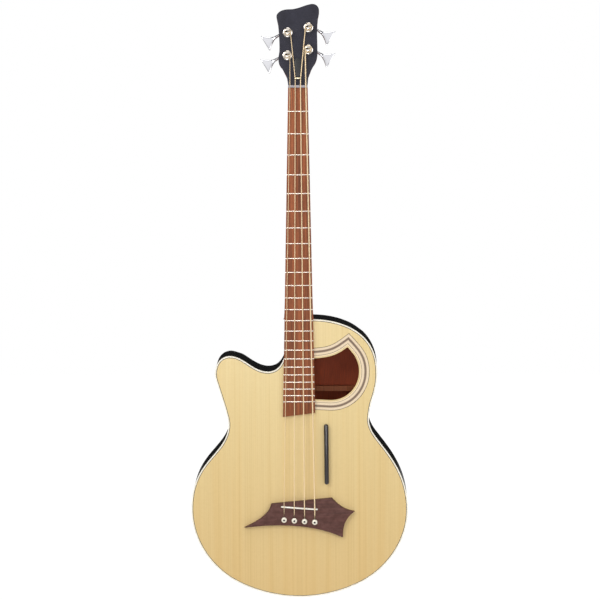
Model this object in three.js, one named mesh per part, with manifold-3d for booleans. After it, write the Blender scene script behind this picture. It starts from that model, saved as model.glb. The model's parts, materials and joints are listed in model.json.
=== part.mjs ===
import * as THREE from "three";
import { mergeVertices } from "three/addons/utils/BufferGeometryUtils.js";
import Module from "manifold-3d";

// A left-handed acoustic bass guitar, hanging upright by its headstock.
// Millimetres: X runs to the bass side, Y into the depth and Z up along the neck.
// Depth 0 is the front of the top, and height 0 is the end of the nut that the fingerboard meets.

// Sizes that several pieces share
const scaleLength = 864;
const fretCount = 24;
const bodyFret = 14; // the fret beside the body's shoulder
const seam = 0.3; // glue line between neighbouring pieces
const overrun = 3; // how far a cutting shape runs past what it cuts

// Body
const bodyLength = 583;
const bodyHalfWidth = 225;
const shoulderRise = 1.63; // of the shoulder above that fret
const depthAtShoulder = 80;
const depthAtTail = 116;
const archRise = 5;
const archFacetCount = 9;
const topThickness = 3;
const backThickness = 2.8;
const sideThickness = 2.4;
const bindingWidth = 2.4;
const bindingHeight = 6;
const liningWidth = 6.5;
const liningHeight = 13;
const liningToe = 2;
const liningLip = 4.5;
const outlineStep = 24;
const fewestSteps = 4;
const neckBlockHalfWidth = 36;
const neckBlockLength = 56;
const tailBlockHalfWidth = 32;
const tailBlockLength = 18;

// Stations round the body, down the bass side and up the treble side to the cutaway's end:
// x as a share of the half width, the way down as a share of the length, the heading in degrees,
// and how far the curve holds that heading before and after, as shares of the length.
const bodyShares = [
  [0.133, 0, 0, 0, 0.043],
  [0.718, 0.19, -90, 0.177, 0.084],
  [0.642, 0.367, -90, 0.085, 0.061],
  [1, 0.682, -90, 0.176, 0.094],
  [0.703, 0.913, -140.6, 0.088, 0.074],
  [0, 1, -180, 0.109, 0.109],
  [-0.703, 0.913, 140.6, 0.074, 0.088],
  [-0.997, 0.681, 90, 0.094, 0.183],
  [-0.65, 0.373, 90, 0.113, 0.03],
  [-0.771, 0.201, 90, 0.013, 0.064],
  [-0.635, 0.131, 0, 0.012, 0.05],
  [-0.284, 0.187, 0, 0.054, 0.048],
  [-0.116, 0.099, 83, 0.035, 0.034],
  [-0.107, 0, 90, 0.034, 0],
];

// Soundhole and its ring
const holeMargin = 37.55; // from the hole's far edge to the widest place of the upper bout
const holeLength = 110.5;
const holeBelowShoulder = 57.5;
const rosetteSetback = 2.6;
const rosetteOuterSetback = 21.5;
const rosetteThickness = 1.2;
const holeStep = 14;
// Stations of the hole: x as a share of its reach from the centre line,
// the rest as shares of the hole's length.
const holeTopShares = [
  [0.129, 0.214, 0, 0, 0.45],
  [0.808, 0, 37, 0.22, 0],
];
const holeSideShares = [
  [0.808, 0, -47, 0, 0.2],
  [1, 0.463, -90, 0.21, 0.3],
  [0.54, 1, -180, 0.28, 0.1],
  [0.129, 0.98, -180, 0.1, 0],
];

// Bracing
const braceWidth = 8;
const braceHeight = 16;
const braceEndHeight = 4;
const braceScallop = 45;
const crossShare = 0.319; // how far up from the saddle to the shoulders the X crosses
const crossHalfAngle = 50;
const crossUpperReach = 172;
const crossLowerReach = 250;
const toneBarHeight = 12;
const toneBarWidth = 6;
const toneBarSlope = 34;
const bridgePlateHalfWidth = 62;
const bridgePlateLength = 60;
const bridgePlateThickness = 2.6;
const patchThickness = 2;
const backStripHalfWidth = 9;
const backStripThickness = 2;
const backBraceHeight = 14;
const backBraceWidth = 11;
// Where the four back braces lie, as shares of the body's length.
const backBraceShares = [0.2665, 0.42, 0.6, 0.82];
// Upper ends of the two tone bars: x as a share of the half width, then the way below the saddle
// and the bar's length as shares of the space between the saddle and the tail.
const toneBarShares = [
  [-0.6, 0.095, 1.227],
  [-0.72, 0.341, 0.92],
];
// The patch beside the hole: its left and right edges as shares of the half width, its upper
// edge as a share of the length, and how far it runs below the fingerboard.
const patchSideShares = [-0.19, 0.055];
const patchUpperShare = 0.235;
const patchBelowBoard = 14.7;

// Bridge
const bridgeHalfSpan = 114.5;
const bridgeLength = 83;
const bridgeAboveSaddle = 20.9;
const bridgeHeight = 9.5;
const bridgeSteps = 6;
const saddleSetback = 6.4; // compensation beyond the scale length
const saddleLength = 76;
const saddleThickness = 3;
const saddleRise = 3.3;
const saddleSlotDepth = 6;
const anchorSlant = 4.2; // degrees that saddle and pin row drop towards the bass side
const pinRowBehindSaddle = 27.2;
const pinHeadRadius = 5.7;
const pinHeadHeight = 5;
const pinShankRadius = 2.9;
const pinTipRadius = 2.5;
const pinLength = 22;
const pinSides = 10;
const pinCrownShare = 0.55; // flat middle of the head, of its radius
const stringRampDepth = 4.8;
// Corners of the bridge and the points that its hollow edges bend towards,
// as shares of half its span and of its length, from the treble tip round over the top.
const bridgeCornerShares = [
  [-1, 0.75],
  [-0.51, 0.146],
  [0.588, 0],
  [1, 0.34],
  [0.787, 1],
];
const bridgeBendShares = [
  [-0.538, 0.461],
  [0.039, 0.073],
  [0.77, 0.3],
  [0.771, 0.558],
  [0.109, 0.56],
];

// Neck and fingerboard
const nutHalfWidth = 20;
const lastFretHalfWidth = 32.75;
const fingerboardTongue = 27.6; // beyond the last fret
const fingerboardEndSlant = 7.3; // degrees that its end rises towards the bass side
const fingerboardThickness = 6;
const camberRadius = 400;
const camberFacets = 4;
const fretHeight = 1.1;
const fretHalfWidth = 1.2;
const nutThickness = 5;
const nutLip = 0.9;
const neckEdge = 1.5;
const neckDepthAtNut = 16;
const neckDepthAtHeel = 20;
const neckSectionPoints = 11;
const heelLength = 72.5; // over which the neck swells into the heel
const heelSpread = 2.5;
const heelTaper = 0.42;
// How far up the heel its sections lie, from its shoulder's end down to the body.
const heelShares = [1, 0.86, 0.66, 0.44, 0.22, 0];
const roundSquareness = 2; // an ellipse
const flareSquareness = 10; // nearly a rectangle
const heelShy = 3; // how far the heel stops short of the back's edge
const tenonHalfWidth = 11;
const tenonLength = 20;
const tenonFront = 6;
const tenonBack = 58;
const rodHalfWidth = 3;
const rodFront = 1;
const rodBack = 11;
const rodAxisDepth = 8;
const rodEndGap = 22.5; // from the rod's end to the body's shoulder
const rodNutRadius = 2.8;
const rodNutReach = 27;

// Headstock
const headstockTilt = 9;
const headstockHalfWidth = 43.4;
const headstockLength = 166;
const headstockThickness = 15;
const overlayThickness = 1.5;
const headstockOutlineSteps = 40;
const flareEnd = 46;
const flareOverlap = 14;
const rodPocketStart = 20;
const rodPocketEnd = 50;
const rodPocketHalfWidth = 4;
const rodPocketDepth = 10;
const coverStart = 17;
const coverLength = 38;
const coverHalfWidth = 7.5;
const coverThickness = 1.6;
// Half of the cover's edge, as shares of its half width and its length.
const coverShares = [
  [0.6, 0],
  [1, 0.4],
  [1, 0.8],
  [0.5, 1],
];
const retainerPlace = 13;
const retainerHalfLength = 7;
const retainerRadius = 1.8;
const retainerStringHeight = 4.2;
const retainerStringSpread = 5.6;
// Edge of the headstock from the nut up the bass side and down the treble side:
// shares of its half width and of its length.
const headstockShares = [
  [0.461, 0],
  [0.475, 0.055],
  [0.525, 0.127],
  [0.75, 0.243],
  [0.9, 0.335],
  [0.918, 0.49],
  [0.904, 0.645],
  [0.935, 0.8],
  [0.992, 0.885],
  [0.982, 0.948],
  [0.848, 0.99],
  [0.638, 1],
  [0.311, 0.978],
  [-0.138, 0.941],
  [-0.677, 0.928],
  [-0.947, 0.885],
  [-1, 0.838],
  [-0.919, 0.723],
  [-0.878, 0.568],
  [-0.866, 0.428],
  [-0.912, 0.335],
  [-0.88, 0.26],
  [-0.688, 0.18],
  [-0.51, 0.09],
  [-0.461, 0],
];

// Machine heads
const wheelTeeth = 16;
const wheelPitchRadius = 4.4;
const wheelThickness = 3.2;
const wormPitchRadius = 2.1;
const toothHalfDepth = 0.45;
const toothTipHalfWidth = 0.16;
const toothRootHalfWidth = 0.34;
const wormCoreRadius = 1.5;
const wormTurns = 3;
const wormStepsPerTurn = 9;
const threadBaseHalfWidth = 0.42;
const runningGap = 0.35;
const postRadius = 4.6;
const postCapRadius = 5.8;
const postCapHeight = 2.2;
const postHeight = 19;
const postSlotHalfWidth = 1.7;
const postSlotDepth = 6;
const postBoreRadius = 1.7;
const postBoreDepth = 13;
const postSides = 14;
const journalRadius = 2.5;
const washerRadius = 10;
const washerHeight = 1.4;
const bevelShare = 0.92; // what a bevel leaves of a radius
const bevelHeightShare = 0.6; // where the washer's bevel begins
const bushingNutRadius = 7.6;
const bushingNutHeight = 3.4;
const bushingWall = 1.3;
const bushingSides = 14;
const housingRadius = 8.2;
const housingDepth = 12;
const wheelDepth = 6;
const housingWall = 1.6;
const housingSides = 14;
const wormChamberHalfLength = 4;
const sleeveLength = 13;
const earReach = 10.5;
const earRadius = 3.2;
const earDepth = 2.4;
const shaftRadius = 1.9;
const shaftSides = 8;
const knobAngle = 31;
const knobNeckReach = 26;
const knobLength = 23;
const knobHalfWidth = 17.2;
const knobNeckHalfWidth = 3;
const knobThickness = 4.4;
const knobWaistShare = 0.3; // how far along the blade its sides stay narrow
const knobEndHollow = 0.8;
const knobStemRadius = 3.1;
// Post centres on the headstock: x as a share of its half width, the way up as a share of its length.
const postPlaceShares = [
  [-0.498, 0.366],
  [-0.48, 0.649],
  [0.498, 0.71],
  [0.49, 0.437],
];

// Strings, from the treble side
const stringDiameters = [1.14, 1.65, 2.16, 2.67];
const stringSpacingAtNut = 10.8;
const stringSpacingAtSaddle = 21.2;
const stringClearAtNut = 0.6; // above the frets' crowns
const windingTurns = 2.1;
const windingStepsPerTurn = 24;
const windingGap = 0.8;
const windingLift = 0.6;
const stringSides = 6;
const ballRadius = 2.8;
const ballLength = 5;
const ballSides = 8;
const gapProbeStep = 1;

// Thumb rest
const thumbRestHalfWidth = 4.8;
const thumbRestHeight = 11;
const thumbRestOffset = 55.8;
const thumbRestBelowBoard = 19;
const thumbRestAboveSaddle = 48.8;
const thumbRestLean = 0.5;
const thumbRestEndSteps = 8;

// Where a hanger's yoke takes the headstock, above the nut's end and behind the top's front
const hangerHeight = 20;
const hangerDepth = 9;

// Places that follow from the sizes
const fretHeightAt = (n) => -scaleLength * (1 - 2 ** (-n / 12));
const lastFret = fretHeightAt(fretCount);
const shoulderHeight = fretHeightAt(bodyFret) + shoulderRise;
const boardEndHeight = lastFret - fingerboardTongue;
const rodEnd = shoulderHeight + rodEndGap;
const tailHeight = shoulderHeight - bodyLength;
const backSlope = (depthAtTail - depthAtShoulder) / bodyLength;
const deepest = depthAtTail + archRise + overrun;
const fingerboardFront = -(seam + fingerboardThickness);
const bridgeFront = -(seam + bridgeHeight);
const saddleHeight = -(scaleLength + saddleSetback);
const saddleFront = bridgeFront - saddleRise;
const rimInset = sideThickness + seam;
const plateBack = topThickness + seam + bridgePlateThickness;
const holeReach = bodyShares[1][0] * bodyHalfWidth - holeMargin;
const holeHeight = shoulderHeight - holeBelowShoulder;
const crossHeight = saddleHeight + crossShare * (shoulderHeight - saddleHeight);
const pinBoreRadius = pinShankRadius + seam;

const kernel = await Module();
kernel.setup();

// The same geometry with its faces turned outwards.
function outward(geometry) {
  const at = geometry.getAttribute("position");
  const index = Array.from(geometry.index.array);
  const [a, b, c] = [new THREE.Vector3(), new THREE.Vector3(), new THREE.Vector3()];
  let volume = 0;
  for (let i = 0; i < index.length; i += 3) {
    a.fromBufferAttribute(at, index[i]);
    b.fromBufferAttribute(at, index[i + 1]);
    c.fromBufferAttribute(at, index[i + 2]);
    volume += a.dot(b.cross(c));
  }
  if (volume < 0) index.reverse();
  return geometry.setIndex(index);
}

function skin(positions, faces) {
  const geometry = new THREE.BufferGeometry();
  geometry.setAttribute("position", new THREE.Float32BufferAttribute(positions, 3));
  return outward(geometry.setIndex(faces));
}

function solid(geometry) {
  const bare = new THREE.BufferGeometry();
  bare.setAttribute("position", geometry.getAttribute("position"));
  bare.setIndex(geometry.index);
  const merged = outward(mergeVertices(bare));
  return new kernel.Manifold(
    new kernel.Mesh({
      numProp: 3,
      vertProperties: merged.getAttribute("position").array,
      triVerts: new Uint32Array(merged.index.array),
    }),
  );
}

function surface(body) {
  const mesh = body.getMesh();
  const geometry = new THREE.BufferGeometry();
  geometry.setAttribute("position", new THREE.BufferAttribute(mesh.vertProperties, 3));
  return geometry.setIndex(new THREE.BufferAttribute(mesh.triVerts, 1));
}

const cut = (shape, ...tools) =>
  surface(tools.reduce((left, tool) => left.subtract(solid(tool)), solid(shape)));
const joined = (shape, ...others) =>
  surface(others.reduce((sum, other) => sum.add(solid(other)), solid(shape)));
const common = (shape, ...others) =>
  surface(others.reduce((rest, other) => rest.intersect(solid(other)), solid(shape)));

// Quads between neighbouring rings of a skin, as pairs of triangles.
function ringFaces(from, to, count) {
  const faces = [];
  for (let i = 0; i < count; i++) {
    const next = (i + 1) % count;
    faces.push(from + i, from + next, to + next, from + i, to + next, to + i);
  }
  return faces;
}

// A skin over rings of equally many points, closed at both ends.
function loft(rings) {
  const count = rings[0].length;
  const faces = [];
  for (let r = 0; r + 1 < rings.length; r++)
    faces.push(...ringFaces(r * count, (r + 1) * count, count));
  const last = (rings.length - 1) * count;
  for (let i = 1; i + 1 < count; i++) {
    faces.push(0, i + 1, i);
    faces.push(last, last + i, last + i + 1);
  }
  return skin(rings.flat().flatMap((p) => p.toArray()), faces);
}

// A skin over rings that lead back to the first one.
function hoop(rings) {
  const count = rings[0].length;
  const faces = [];
  for (let r = 0; r < rings.length; r++)
    faces.push(...ringFaces(r * count, ((r + 1) % rings.length) * count, count));
  return skin(rings.flat().flatMap((p) => p.toArray()), faces);
}

// A flat outline of (x, height) points as a plate between two depths.
function plate(points, front, back, holes = []) {
  const isClockwise = THREE.ShapeUtils.isClockWise(points);
  const shape = new THREE.Shape(isClockwise ? [...points].reverse() : points);
  shape.holes = holes.map((hole) => new THREE.Path(hole));
  return new THREE.ExtrudeGeometry(shape, { depth: back - front, bevelEnabled: false })
    .rotateX(Math.PI / 2)
    .translate(0, back, 0);
}

function box(left, right, front, back, lower, upper) {
  return new THREE.BoxGeometry(right - left, back - front, upper - lower).translate(
    (left + right) / 2,
    (front + back) / 2,
    (lower + upper) / 2,
  );
}

// A turned piece about the depth axis from (radius, depth) points that start and end on the axis.
function turned(profile, sides) {
  const points = profile.map(([radius, depth]) => new THREE.Vector2(radius, depth));
  return outward(new THREE.LatheGeometry(points, sides));
}

// A round bar along the depth axis.
function bar(radius, front, back, sides) {
  return new THREE.CylinderGeometry(radius, radius, back - front, sides).translate(
    0,
    (front + back) / 2,
    0,
  );
}

// A smooth line through stations of [x, way down, heading, hold before, hold after] shares.
function smoothLine(stations, reach, length, top, step) {
  const nodes = stations.map(([x, down, heading, before, after]) => {
    const angle = THREE.MathUtils.degToRad(heading);
    const along = new THREE.Vector2(Math.cos(angle), Math.sin(angle)).multiplyScalar(length);
    const at = new THREE.Vector2(x * reach, top - down * length);
    return {
      at,
      before: at.clone().addScaledVector(along, -before),
      after: at.clone().addScaledVector(along, after),
    };
  });
  const points = [nodes[0].at];
  for (let i = 0; i + 1 < nodes.length; i++) {
    const curve = new THREE.CubicBezierCurve(
      nodes[i].at,
      nodes[i].after,
      nodes[i + 1].before,
      nodes[i + 1].at,
    );
    const steps = Math.max(fewestSteps, Math.ceil(curve.getLength() / step));
    points.push(...curve.getSpacedPoints(steps).slice(1));
  }
  return points;
}

// The line moved sideways by a distance, to the right of its travel, with mitred corners.
function besideLine(points, distance, closed) {
  const count = points.length;
  const normal = (from, to) => {
    const run = new THREE.Vector2().subVectors(to, from).normalize();
    return new THREE.Vector2(run.y, -run.x);
  };
  return points.map((point, i) => {
    const isFirst = i === 0 && !closed;
    const isLast = i === count - 1 && !closed;
    const before = isFirst ? null : normal(points[(i + count - 1) % count], point);
    const after = isLast ? null : normal(point, points[(i + 1) % count]);
    const first = before ?? after;
    const middle = first.clone().add(after ?? before).normalize();
    return point.clone().addScaledVector(middle, distance / middle.dot(first));
  });
}

// The lowest and highest x of a closed line at a height.
function spanAt(line, height) {
  const crossings = [];
  line.forEach((from, i) => {
    const to = line[(i + 1) % line.length];
    if (from.y > height === to.y > height) return;
    crossings.push(from.x + ((to.x - from.x) * (height - from.y)) / (to.y - from.y));
  });
  return [Math.min(...crossings), Math.max(...crossings)];
}

// Body outline and the arched, tapering back
const bodyLine = smoothLine(bodyShares, bodyHalfWidth, bodyLength, shoulderHeight, outlineStep);
const archAt = (x) => archRise * (1 - (x / bodyHalfWidth) ** 2);
const backAt = (x, height) =>
  depthAtShoulder + backSlope * (shoulderHeight - height) + archAt(x);

// The layer between two surfaces alongside the back, the outer one this far inside the back's outside.
function backLayer(inset, thickness) {
  const count = archFacetCount + 1;
  const stations = Array.from({ length: count }, (_, i) => {
    const x = (bodyHalfWidth + overrun) * ((2 * i) / archFacetCount - 1);
    return new THREE.Vector2(x, depthAtShoulder + archAt(x) - inset);
  });
  const nearer = stations.map((p) => new THREE.Vector2(p.x, p.y - thickness));
  const shape = new THREE.Shape([...stations, ...nearer.reverse()]);
  return new THREE.ExtrudeGeometry(shape, {
    depth: bodyLength + 2 * overrun,
    bevelEnabled: false,
  })
    .translate(0, backSlope * shoulderHeight, tailHeight - overrun)
    .applyMatrix4(new THREE.Matrix4().makeShear(0, 0, 0, 0, 0, -backSlope));
}

// What lies on one side of the centre line, half a seam away from it.
function half(shape, side) {
  const near = (side * seam) / 2;
  const far = side * (bodyHalfWidth + overrun);
  const sideSpace = box(
    Math.min(near, far),
    Math.max(near, far),
    -overrun,
    deepest,
    tailHeight - overrun,
    shoulderHeight + overrun,
  );
  return common(shape, sideSpace);
}

const tenonSlot = box(
  -tenonHalfWidth - seam,
  tenonHalfWidth + seam,
  tenonFront - seam,
  tenonBack + seam,
  shoulderHeight - tenonLength - seam,
  shoulderHeight + overrun,
);

function makeSide(side) {
  const ring = plate(bodyLine, bindingHeight + seam, deepest, [
    besideLine(bodyLine, sideThickness, true),
  ]);
  const rim = common(ring, backLayer(bindingHeight + seam, deepest));
  return cut(half(rim, side), tenonSlot);
}

function makeBinding(isFront) {
  const inner = besideLine(bodyLine, bindingWidth, true);
  if (isFront) return plate(bodyLine, 0, bindingHeight, [inner]);
  return common(plate(bodyLine, 0, deepest, [inner]), backLayer(0, bindingHeight));
}

const plateLine = besideLine(bodyLine, Math.max(bindingWidth, sideThickness) + seam, true);
const insideLine = besideLine(bodyLine, rimInset, true);

const holeLine = [
  ...smoothLine(holeTopShares, holeReach, holeLength, holeHeight, holeStep),
  ...smoothLine(holeSideShares, holeReach, holeLength, holeHeight, holeStep).slice(1),
];

// The band round the hole between two distances from its edge, open towards the fingerboard.
function holeBand(inner, outer, front, back) {
  const near = besideLine(holeLine, -inner, false);
  const far = besideLine(holeLine, -outer, false);
  return plate([...far, ...near.reverse()], front, back);
}

const rosette = holeBand(rosetteSetback, rosetteOuterSetback, 0, rosetteThickness);

// Places of the strings at the saddle and at the pins
const slantRise = Math.tan(THREE.MathUtils.degToRad(anchorSlant));
const strings = stringDiameters.map((diameter, i) => {
  const step = i - (stringDiameters.length - 1) / 2;
  const x = step * stringSpacingAtSaddle;
  return {
    radius: diameter / 2,
    nutX: step * stringSpacingAtNut,
    saddleX: x,
    saddleZ: saddleHeight - x * slantRise,
    pinZ: saddleHeight - pinRowBehindSaddle - x * slantRise,
  };
});
strings.forEach((string) => {
  string.holeZ = string.pinZ + pinShankRadius + seam + string.radius;
});

// What one string and its pin need through the bridge, the top and the plate under it.
function stringBore(string) {
  const reach = string.holeZ + string.radius + seam;
  const bore = bar(pinBoreRadius, bridgeFront - overrun, plateBack + overrun, pinSides);
  bore.translate(string.saddleX, 0, string.pinZ);
  const halfWidth = string.radius + seam;
  const slot = box(
    string.saddleX - halfWidth,
    string.saddleX + halfWidth,
    bridgeFront + stringRampDepth,
    plateBack + overrun,
    string.pinZ,
    reach,
  );
  return joined(bore, slot);
}

const camberDrop = (x) => (x * x) / (2 * camberRadius);
const saddleStringDepth = (string) =>
  saddleFront - 2 * seam - string.radius + camberDrop(string.saddleX);

// The open ramp that leads a string from its hole up to the saddle.
function stringRamp(string) {
  const floor = string.radius + seam;
  const start = new THREE.Vector2(string.holeZ, bridgeFront + stringRampDepth);
  const end = new THREE.Vector2(string.saddleZ, saddleStringDepth(string));
  const run = new THREE.Vector2().subVectors(end, start).normalize();
  const under = new THREE.Vector2(-run.y, run.x).multiplyScalar(floor);
  const low = start.clone().add(under);
  const rise = (bridgeFront - overrun - low.y) / run.y;
  const profile = [
    new THREE.Vector2(string.pinZ, bridgeFront - overrun),
    new THREE.Vector2(string.pinZ, low.y),
    low,
    low.clone().addScaledVector(run, rise),
  ];
  return new THREE.ExtrudeGeometry(new THREE.Shape(profile), {
    depth: 2 * floor,
    bevelEnabled: false,
  })
    .rotateY(-Math.PI / 2)
    .translate(string.saddleX + floor, 0, 0);
}

function makeTop() {
  const board = plate(plateLine, 0, topThickness, [holeLine]);
  const channel = holeBand(
    rosetteSetback - seam,
    rosetteOuterSetback + seam,
    -overrun,
    rosetteThickness + seam,
  );
  return cut(board, channel, ...strings.map(stringBore));
}

const makeBack = () => common(plate(plateLine, 0, deepest), backLayer(0, backThickness));

const neckBlockSpace = (clear) =>
  box(
    -neckBlockHalfWidth - clear,
    neckBlockHalfWidth + clear,
    topThickness + seam - clear,
    deepest,
    shoulderHeight - rimInset - neckBlockLength - clear,
    shoulderHeight,
  );
const tailBlockSpace = (clear) =>
  box(
    -tailBlockHalfWidth - clear,
    tailBlockHalfWidth + clear,
    topThickness + seam - clear,
    deepest,
    tailHeight,
    tailHeight + rimInset + tailBlockLength + clear,
  );

function makeBlock(space) {
  const inside = plate(insideLine, 0, deepest);
  return common(space, inside, backLayer(backThickness + seam, deepest));
}

// The glue strips round the inside, leaning away from the rim, stopped at both blocks.
function makeLining(side, isFront) {
  const base = (x, height) =>
    isFront ? topThickness + seam : backAt(x, height) - backThickness - seam;
  const into = isFront ? 1 : -1;
  const corners = [
    [rimInset, 0],
    [rimInset, liningHeight],
    [rimInset + liningToe, liningHeight],
    [rimInset + liningWidth, liningLip],
    [rimInset + liningWidth, 0],
  ].map(([inset, rise]) => ({ line: besideLine(bodyLine, inset, true), rise }));
  const rings = bodyLine.map((_, i) =>
    corners.map(({ line, rise }) => {
      const { x, y } = line[i];
      return new THREE.Vector3(x, base(x, y) + into * rise, y);
    }),
  );
  return cut(half(hoop(rings), side), neckBlockSpace(seam), tailBlockSpace(seam));
}

// A brace on the underside of the top, with its ends thinned.
function brace(start, angle, length, width, height, scallop = braceScallop) {
  const profile = [
    new THREE.Vector2(0, 0),
    new THREE.Vector2(length, 0),
    new THREE.Vector2(length, braceEndHeight),
    new THREE.Vector2(length - scallop, height),
    new THREE.Vector2(scallop, height),
    new THREE.Vector2(0, braceEndHeight),
  ];
  return new THREE.ExtrudeGeometry(new THREE.Shape(profile), {
    depth: width,
    bevelEnabled: false,
  })
    .translate(0, 0, -width / 2)
    .rotateY(THREE.MathUtils.degToRad(angle))
    .translate(start.x, topThickness + seam, start.y);
}

// The room between the glue strips, which the braces end in.
const insideLinings = plate(
  besideLine(bodyLine, rimInset + liningWidth + seam, true),
  0,
  deepest,
);

// A straight bar between two heights above the top's underside, to notch a crossing brace.
function crossingSpace(start, angle, length, from, to) {
  return new THREE.BoxGeometry(length, to - from, braceWidth + 2 * seam)
    .translate(length / 2, (from + to) / 2, 0)
    .rotateY(THREE.MathUtils.degToRad(angle))
    .translate(start.x, topThickness + seam, start.y);
}

// One leg of the X from its upper end down across the centre line; side 1 starts on the bass side.
function crossLeg(side) {
  const angle = THREE.MathUtils.degToRad(crossHalfAngle);
  const start = new THREE.Vector2(
    side * crossUpperReach * Math.sin(angle),
    crossHeight + crossUpperReach * Math.cos(angle),
  );
  const heading = side > 0 ? 90 + crossHalfAngle : 90 - crossHalfAngle;
  return { start, heading, length: crossUpperReach + crossLowerReach };
}

function makeCrossBrace(side) {
  const own = crossLeg(side);
  const other = crossLeg(-side);
  const shape = brace(own.start, own.heading, own.length, braceWidth, braceHeight);
  const middle = braceHeight / 2;
  const notch =
    side > 0
      ? crossingSpace(other.start, other.heading, other.length, middle - seam, braceHeight + overrun)
      : crossingSpace(other.start, other.heading, other.length, -overrun, middle);
  return common(cut(shape, notch), insideLinings);
}

function makeToneBar([x, down, length]) {
  const space = saddleHeight - tailHeight;
  const start = new THREE.Vector2(x * bodyHalfWidth, saddleHeight - down * space);
  const run = length * space;
  const bar = brace(start, toneBarSlope, run, toneBarWidth, toneBarHeight, run / 4);
  return common(bar, insideLinings);
}

function makePatch() {
  const [left, right] = patchSideShares;
  const front = topThickness + seam;
  const board = box(
    left * bodyHalfWidth,
    right * bodyHalfWidth,
    front,
    front + patchThickness,
    boardEndHeight - patchBelowBoard,
    shoulderHeight - patchUpperShare * bodyLength,
  );
  const legs = [crossLeg(1), crossLeg(-1)].map(({ start, heading, length }) =>
    crossingSpace(start, heading, length, -seam, patchThickness + seam),
  );
  return cut(board, ...legs);
}

function makeBridgePlate() {
  const middle = saddleHeight - pinRowBehindSaddle / 2;
  const board = box(
    -bridgePlateHalfWidth,
    bridgePlateHalfWidth,
    topThickness + seam,
    plateBack,
    middle - bridgePlateLength / 2,
    middle + bridgePlateLength / 2,
  );
  return cut(board, ...strings.map(stringBore));
}

const stripLower = tailHeight + rimInset + tailBlockLength + seam;
const stripUpper = shoulderHeight - rimInset - neckBlockLength - seam;

function backStripSpace(clear) {
  const ring = (height) => {
    const back = backAt(0, height) - backThickness - seam + clear;
    const front = back - backStripThickness - 2 * clear;
    const halfWidth = backStripHalfWidth + clear;
    return [
      new THREE.Vector3(-halfWidth, front, height),
      new THREE.Vector3(halfWidth, front, height),
      new THREE.Vector3(halfWidth, back, height),
      new THREE.Vector3(-halfWidth, back, height),
    ];
  };
  return loft([ring(stripLower - clear), ring(stripUpper + clear)]);
}

// A brace across the back that follows its arch, notched over the centre strip.
function makeBackBrace(share) {
  const height = shoulderHeight - share * bodyLength;
  const liningLine = besideLine(bodyLine, rimInset + liningWidth + seam, true);
  const lower = height - backBraceWidth / 2;
  const upper = height + backBraceWidth / 2;
  const spans = [spanAt(liningLine, lower), spanAt(liningLine, upper)];
  const left = Math.max(spans[0][0], spans[1][0]);
  const right = Math.min(spans[0][1], spans[1][1]);
  const inner = [left + braceScallop, right - braceScallop];
  const stations = [left, inner[0], (inner[0] + inner[1]) / 2, inner[1], right];
  const rings = stations.map((x, i) => {
    const isEnd = i === 0 || i === stations.length - 1;
    const rise = isEnd ? braceEndHeight : backBraceHeight;
    const foot = (z) => backAt(x, z) - backThickness - 2 * seam;
    return [
      new THREE.Vector3(x, foot(lower), lower),
      new THREE.Vector3(x, foot(upper), upper),
      new THREE.Vector3(x, foot(upper) - rise, upper),
      new THREE.Vector3(x, foot(lower) - rise, lower),
    ];
  });
  return cut(loft(rings), backStripSpace(seam));
}

// Bridge, saddle and pins
function bridgeLine() {
  const place = ([x, down]) =>
    new THREE.Vector2(x * bridgeHalfSpan, saddleHeight + bridgeAboveSaddle - down * bridgeLength);
  const corners = bridgeCornerShares.map(place);
  const bends = bridgeBendShares.map(place);
  return corners.flatMap((corner, i) => {
    const next = corners[(i + 1) % corners.length];
    const curve = new THREE.QuadraticBezierCurve(corner, bends[i], next);
    return curve.getPoints(bridgeSteps).slice(0, bridgeSteps);
  });
}

function slanted(shape) {
  return shape.rotateY(THREE.MathUtils.degToRad(anchorSlant)).translate(0, 0, saddleHeight);
}

function makeBridge() {
  const slot = slanted(
    box(
      -saddleLength / 2 - seam,
      saddleLength / 2 + seam,
      bridgeFront - overrun,
      bridgeFront + saddleSlotDepth + seam,
      -saddleThickness / 2 - seam,
      saddleThickness / 2 + seam,
    ),
  );
  const body = plate(bridgeLine(), bridgeFront, -seam);
  return cut(body, slot, ...strings.map(stringBore), ...strings.map(stringRamp));
}

function makeSaddle() {
  const crown = Array.from({ length: camberFacets * 2 + 1 }, (_, i) => {
    const x = saddleLength / 2 - (saddleLength * i) / (camberFacets * 2);
    return new THREE.Vector2(x, saddleFront + camberDrop(x));
  });
  const foot = bridgeFront + saddleSlotDepth;
  const profile = [
    new THREE.Vector2(-saddleLength / 2, foot),
    new THREE.Vector2(saddleLength / 2, foot),
    ...crown,
  ];
  return slanted(
    new THREE.ExtrudeGeometry(new THREE.Shape(profile), {
      depth: saddleThickness,
      bevelEnabled: false,
    }).translate(0, 0, -saddleThickness / 2),
  );
}

// A bridge pin with its head in front, standing on its own centre.
function makePin() {
  const front = bridgeFront - seam;
  return turned(
    [
      [0, front - pinHeadHeight],
      [pinHeadRadius * pinCrownShare, front - pinHeadHeight],
      [pinHeadRadius, front - pinHeadHeight / 2],
      [pinHeadRadius, front],
      [pinShankRadius, front],
      [pinTipRadius, front + pinLength],
      [0, front + pinLength],
    ],
    pinSides,
  );
}

// Neck, fingerboard and nut
const boardHalfWidth = (height) =>
  nutHalfWidth + ((lastFretHalfWidth - nutHalfWidth) * height) / lastFret;

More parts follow.
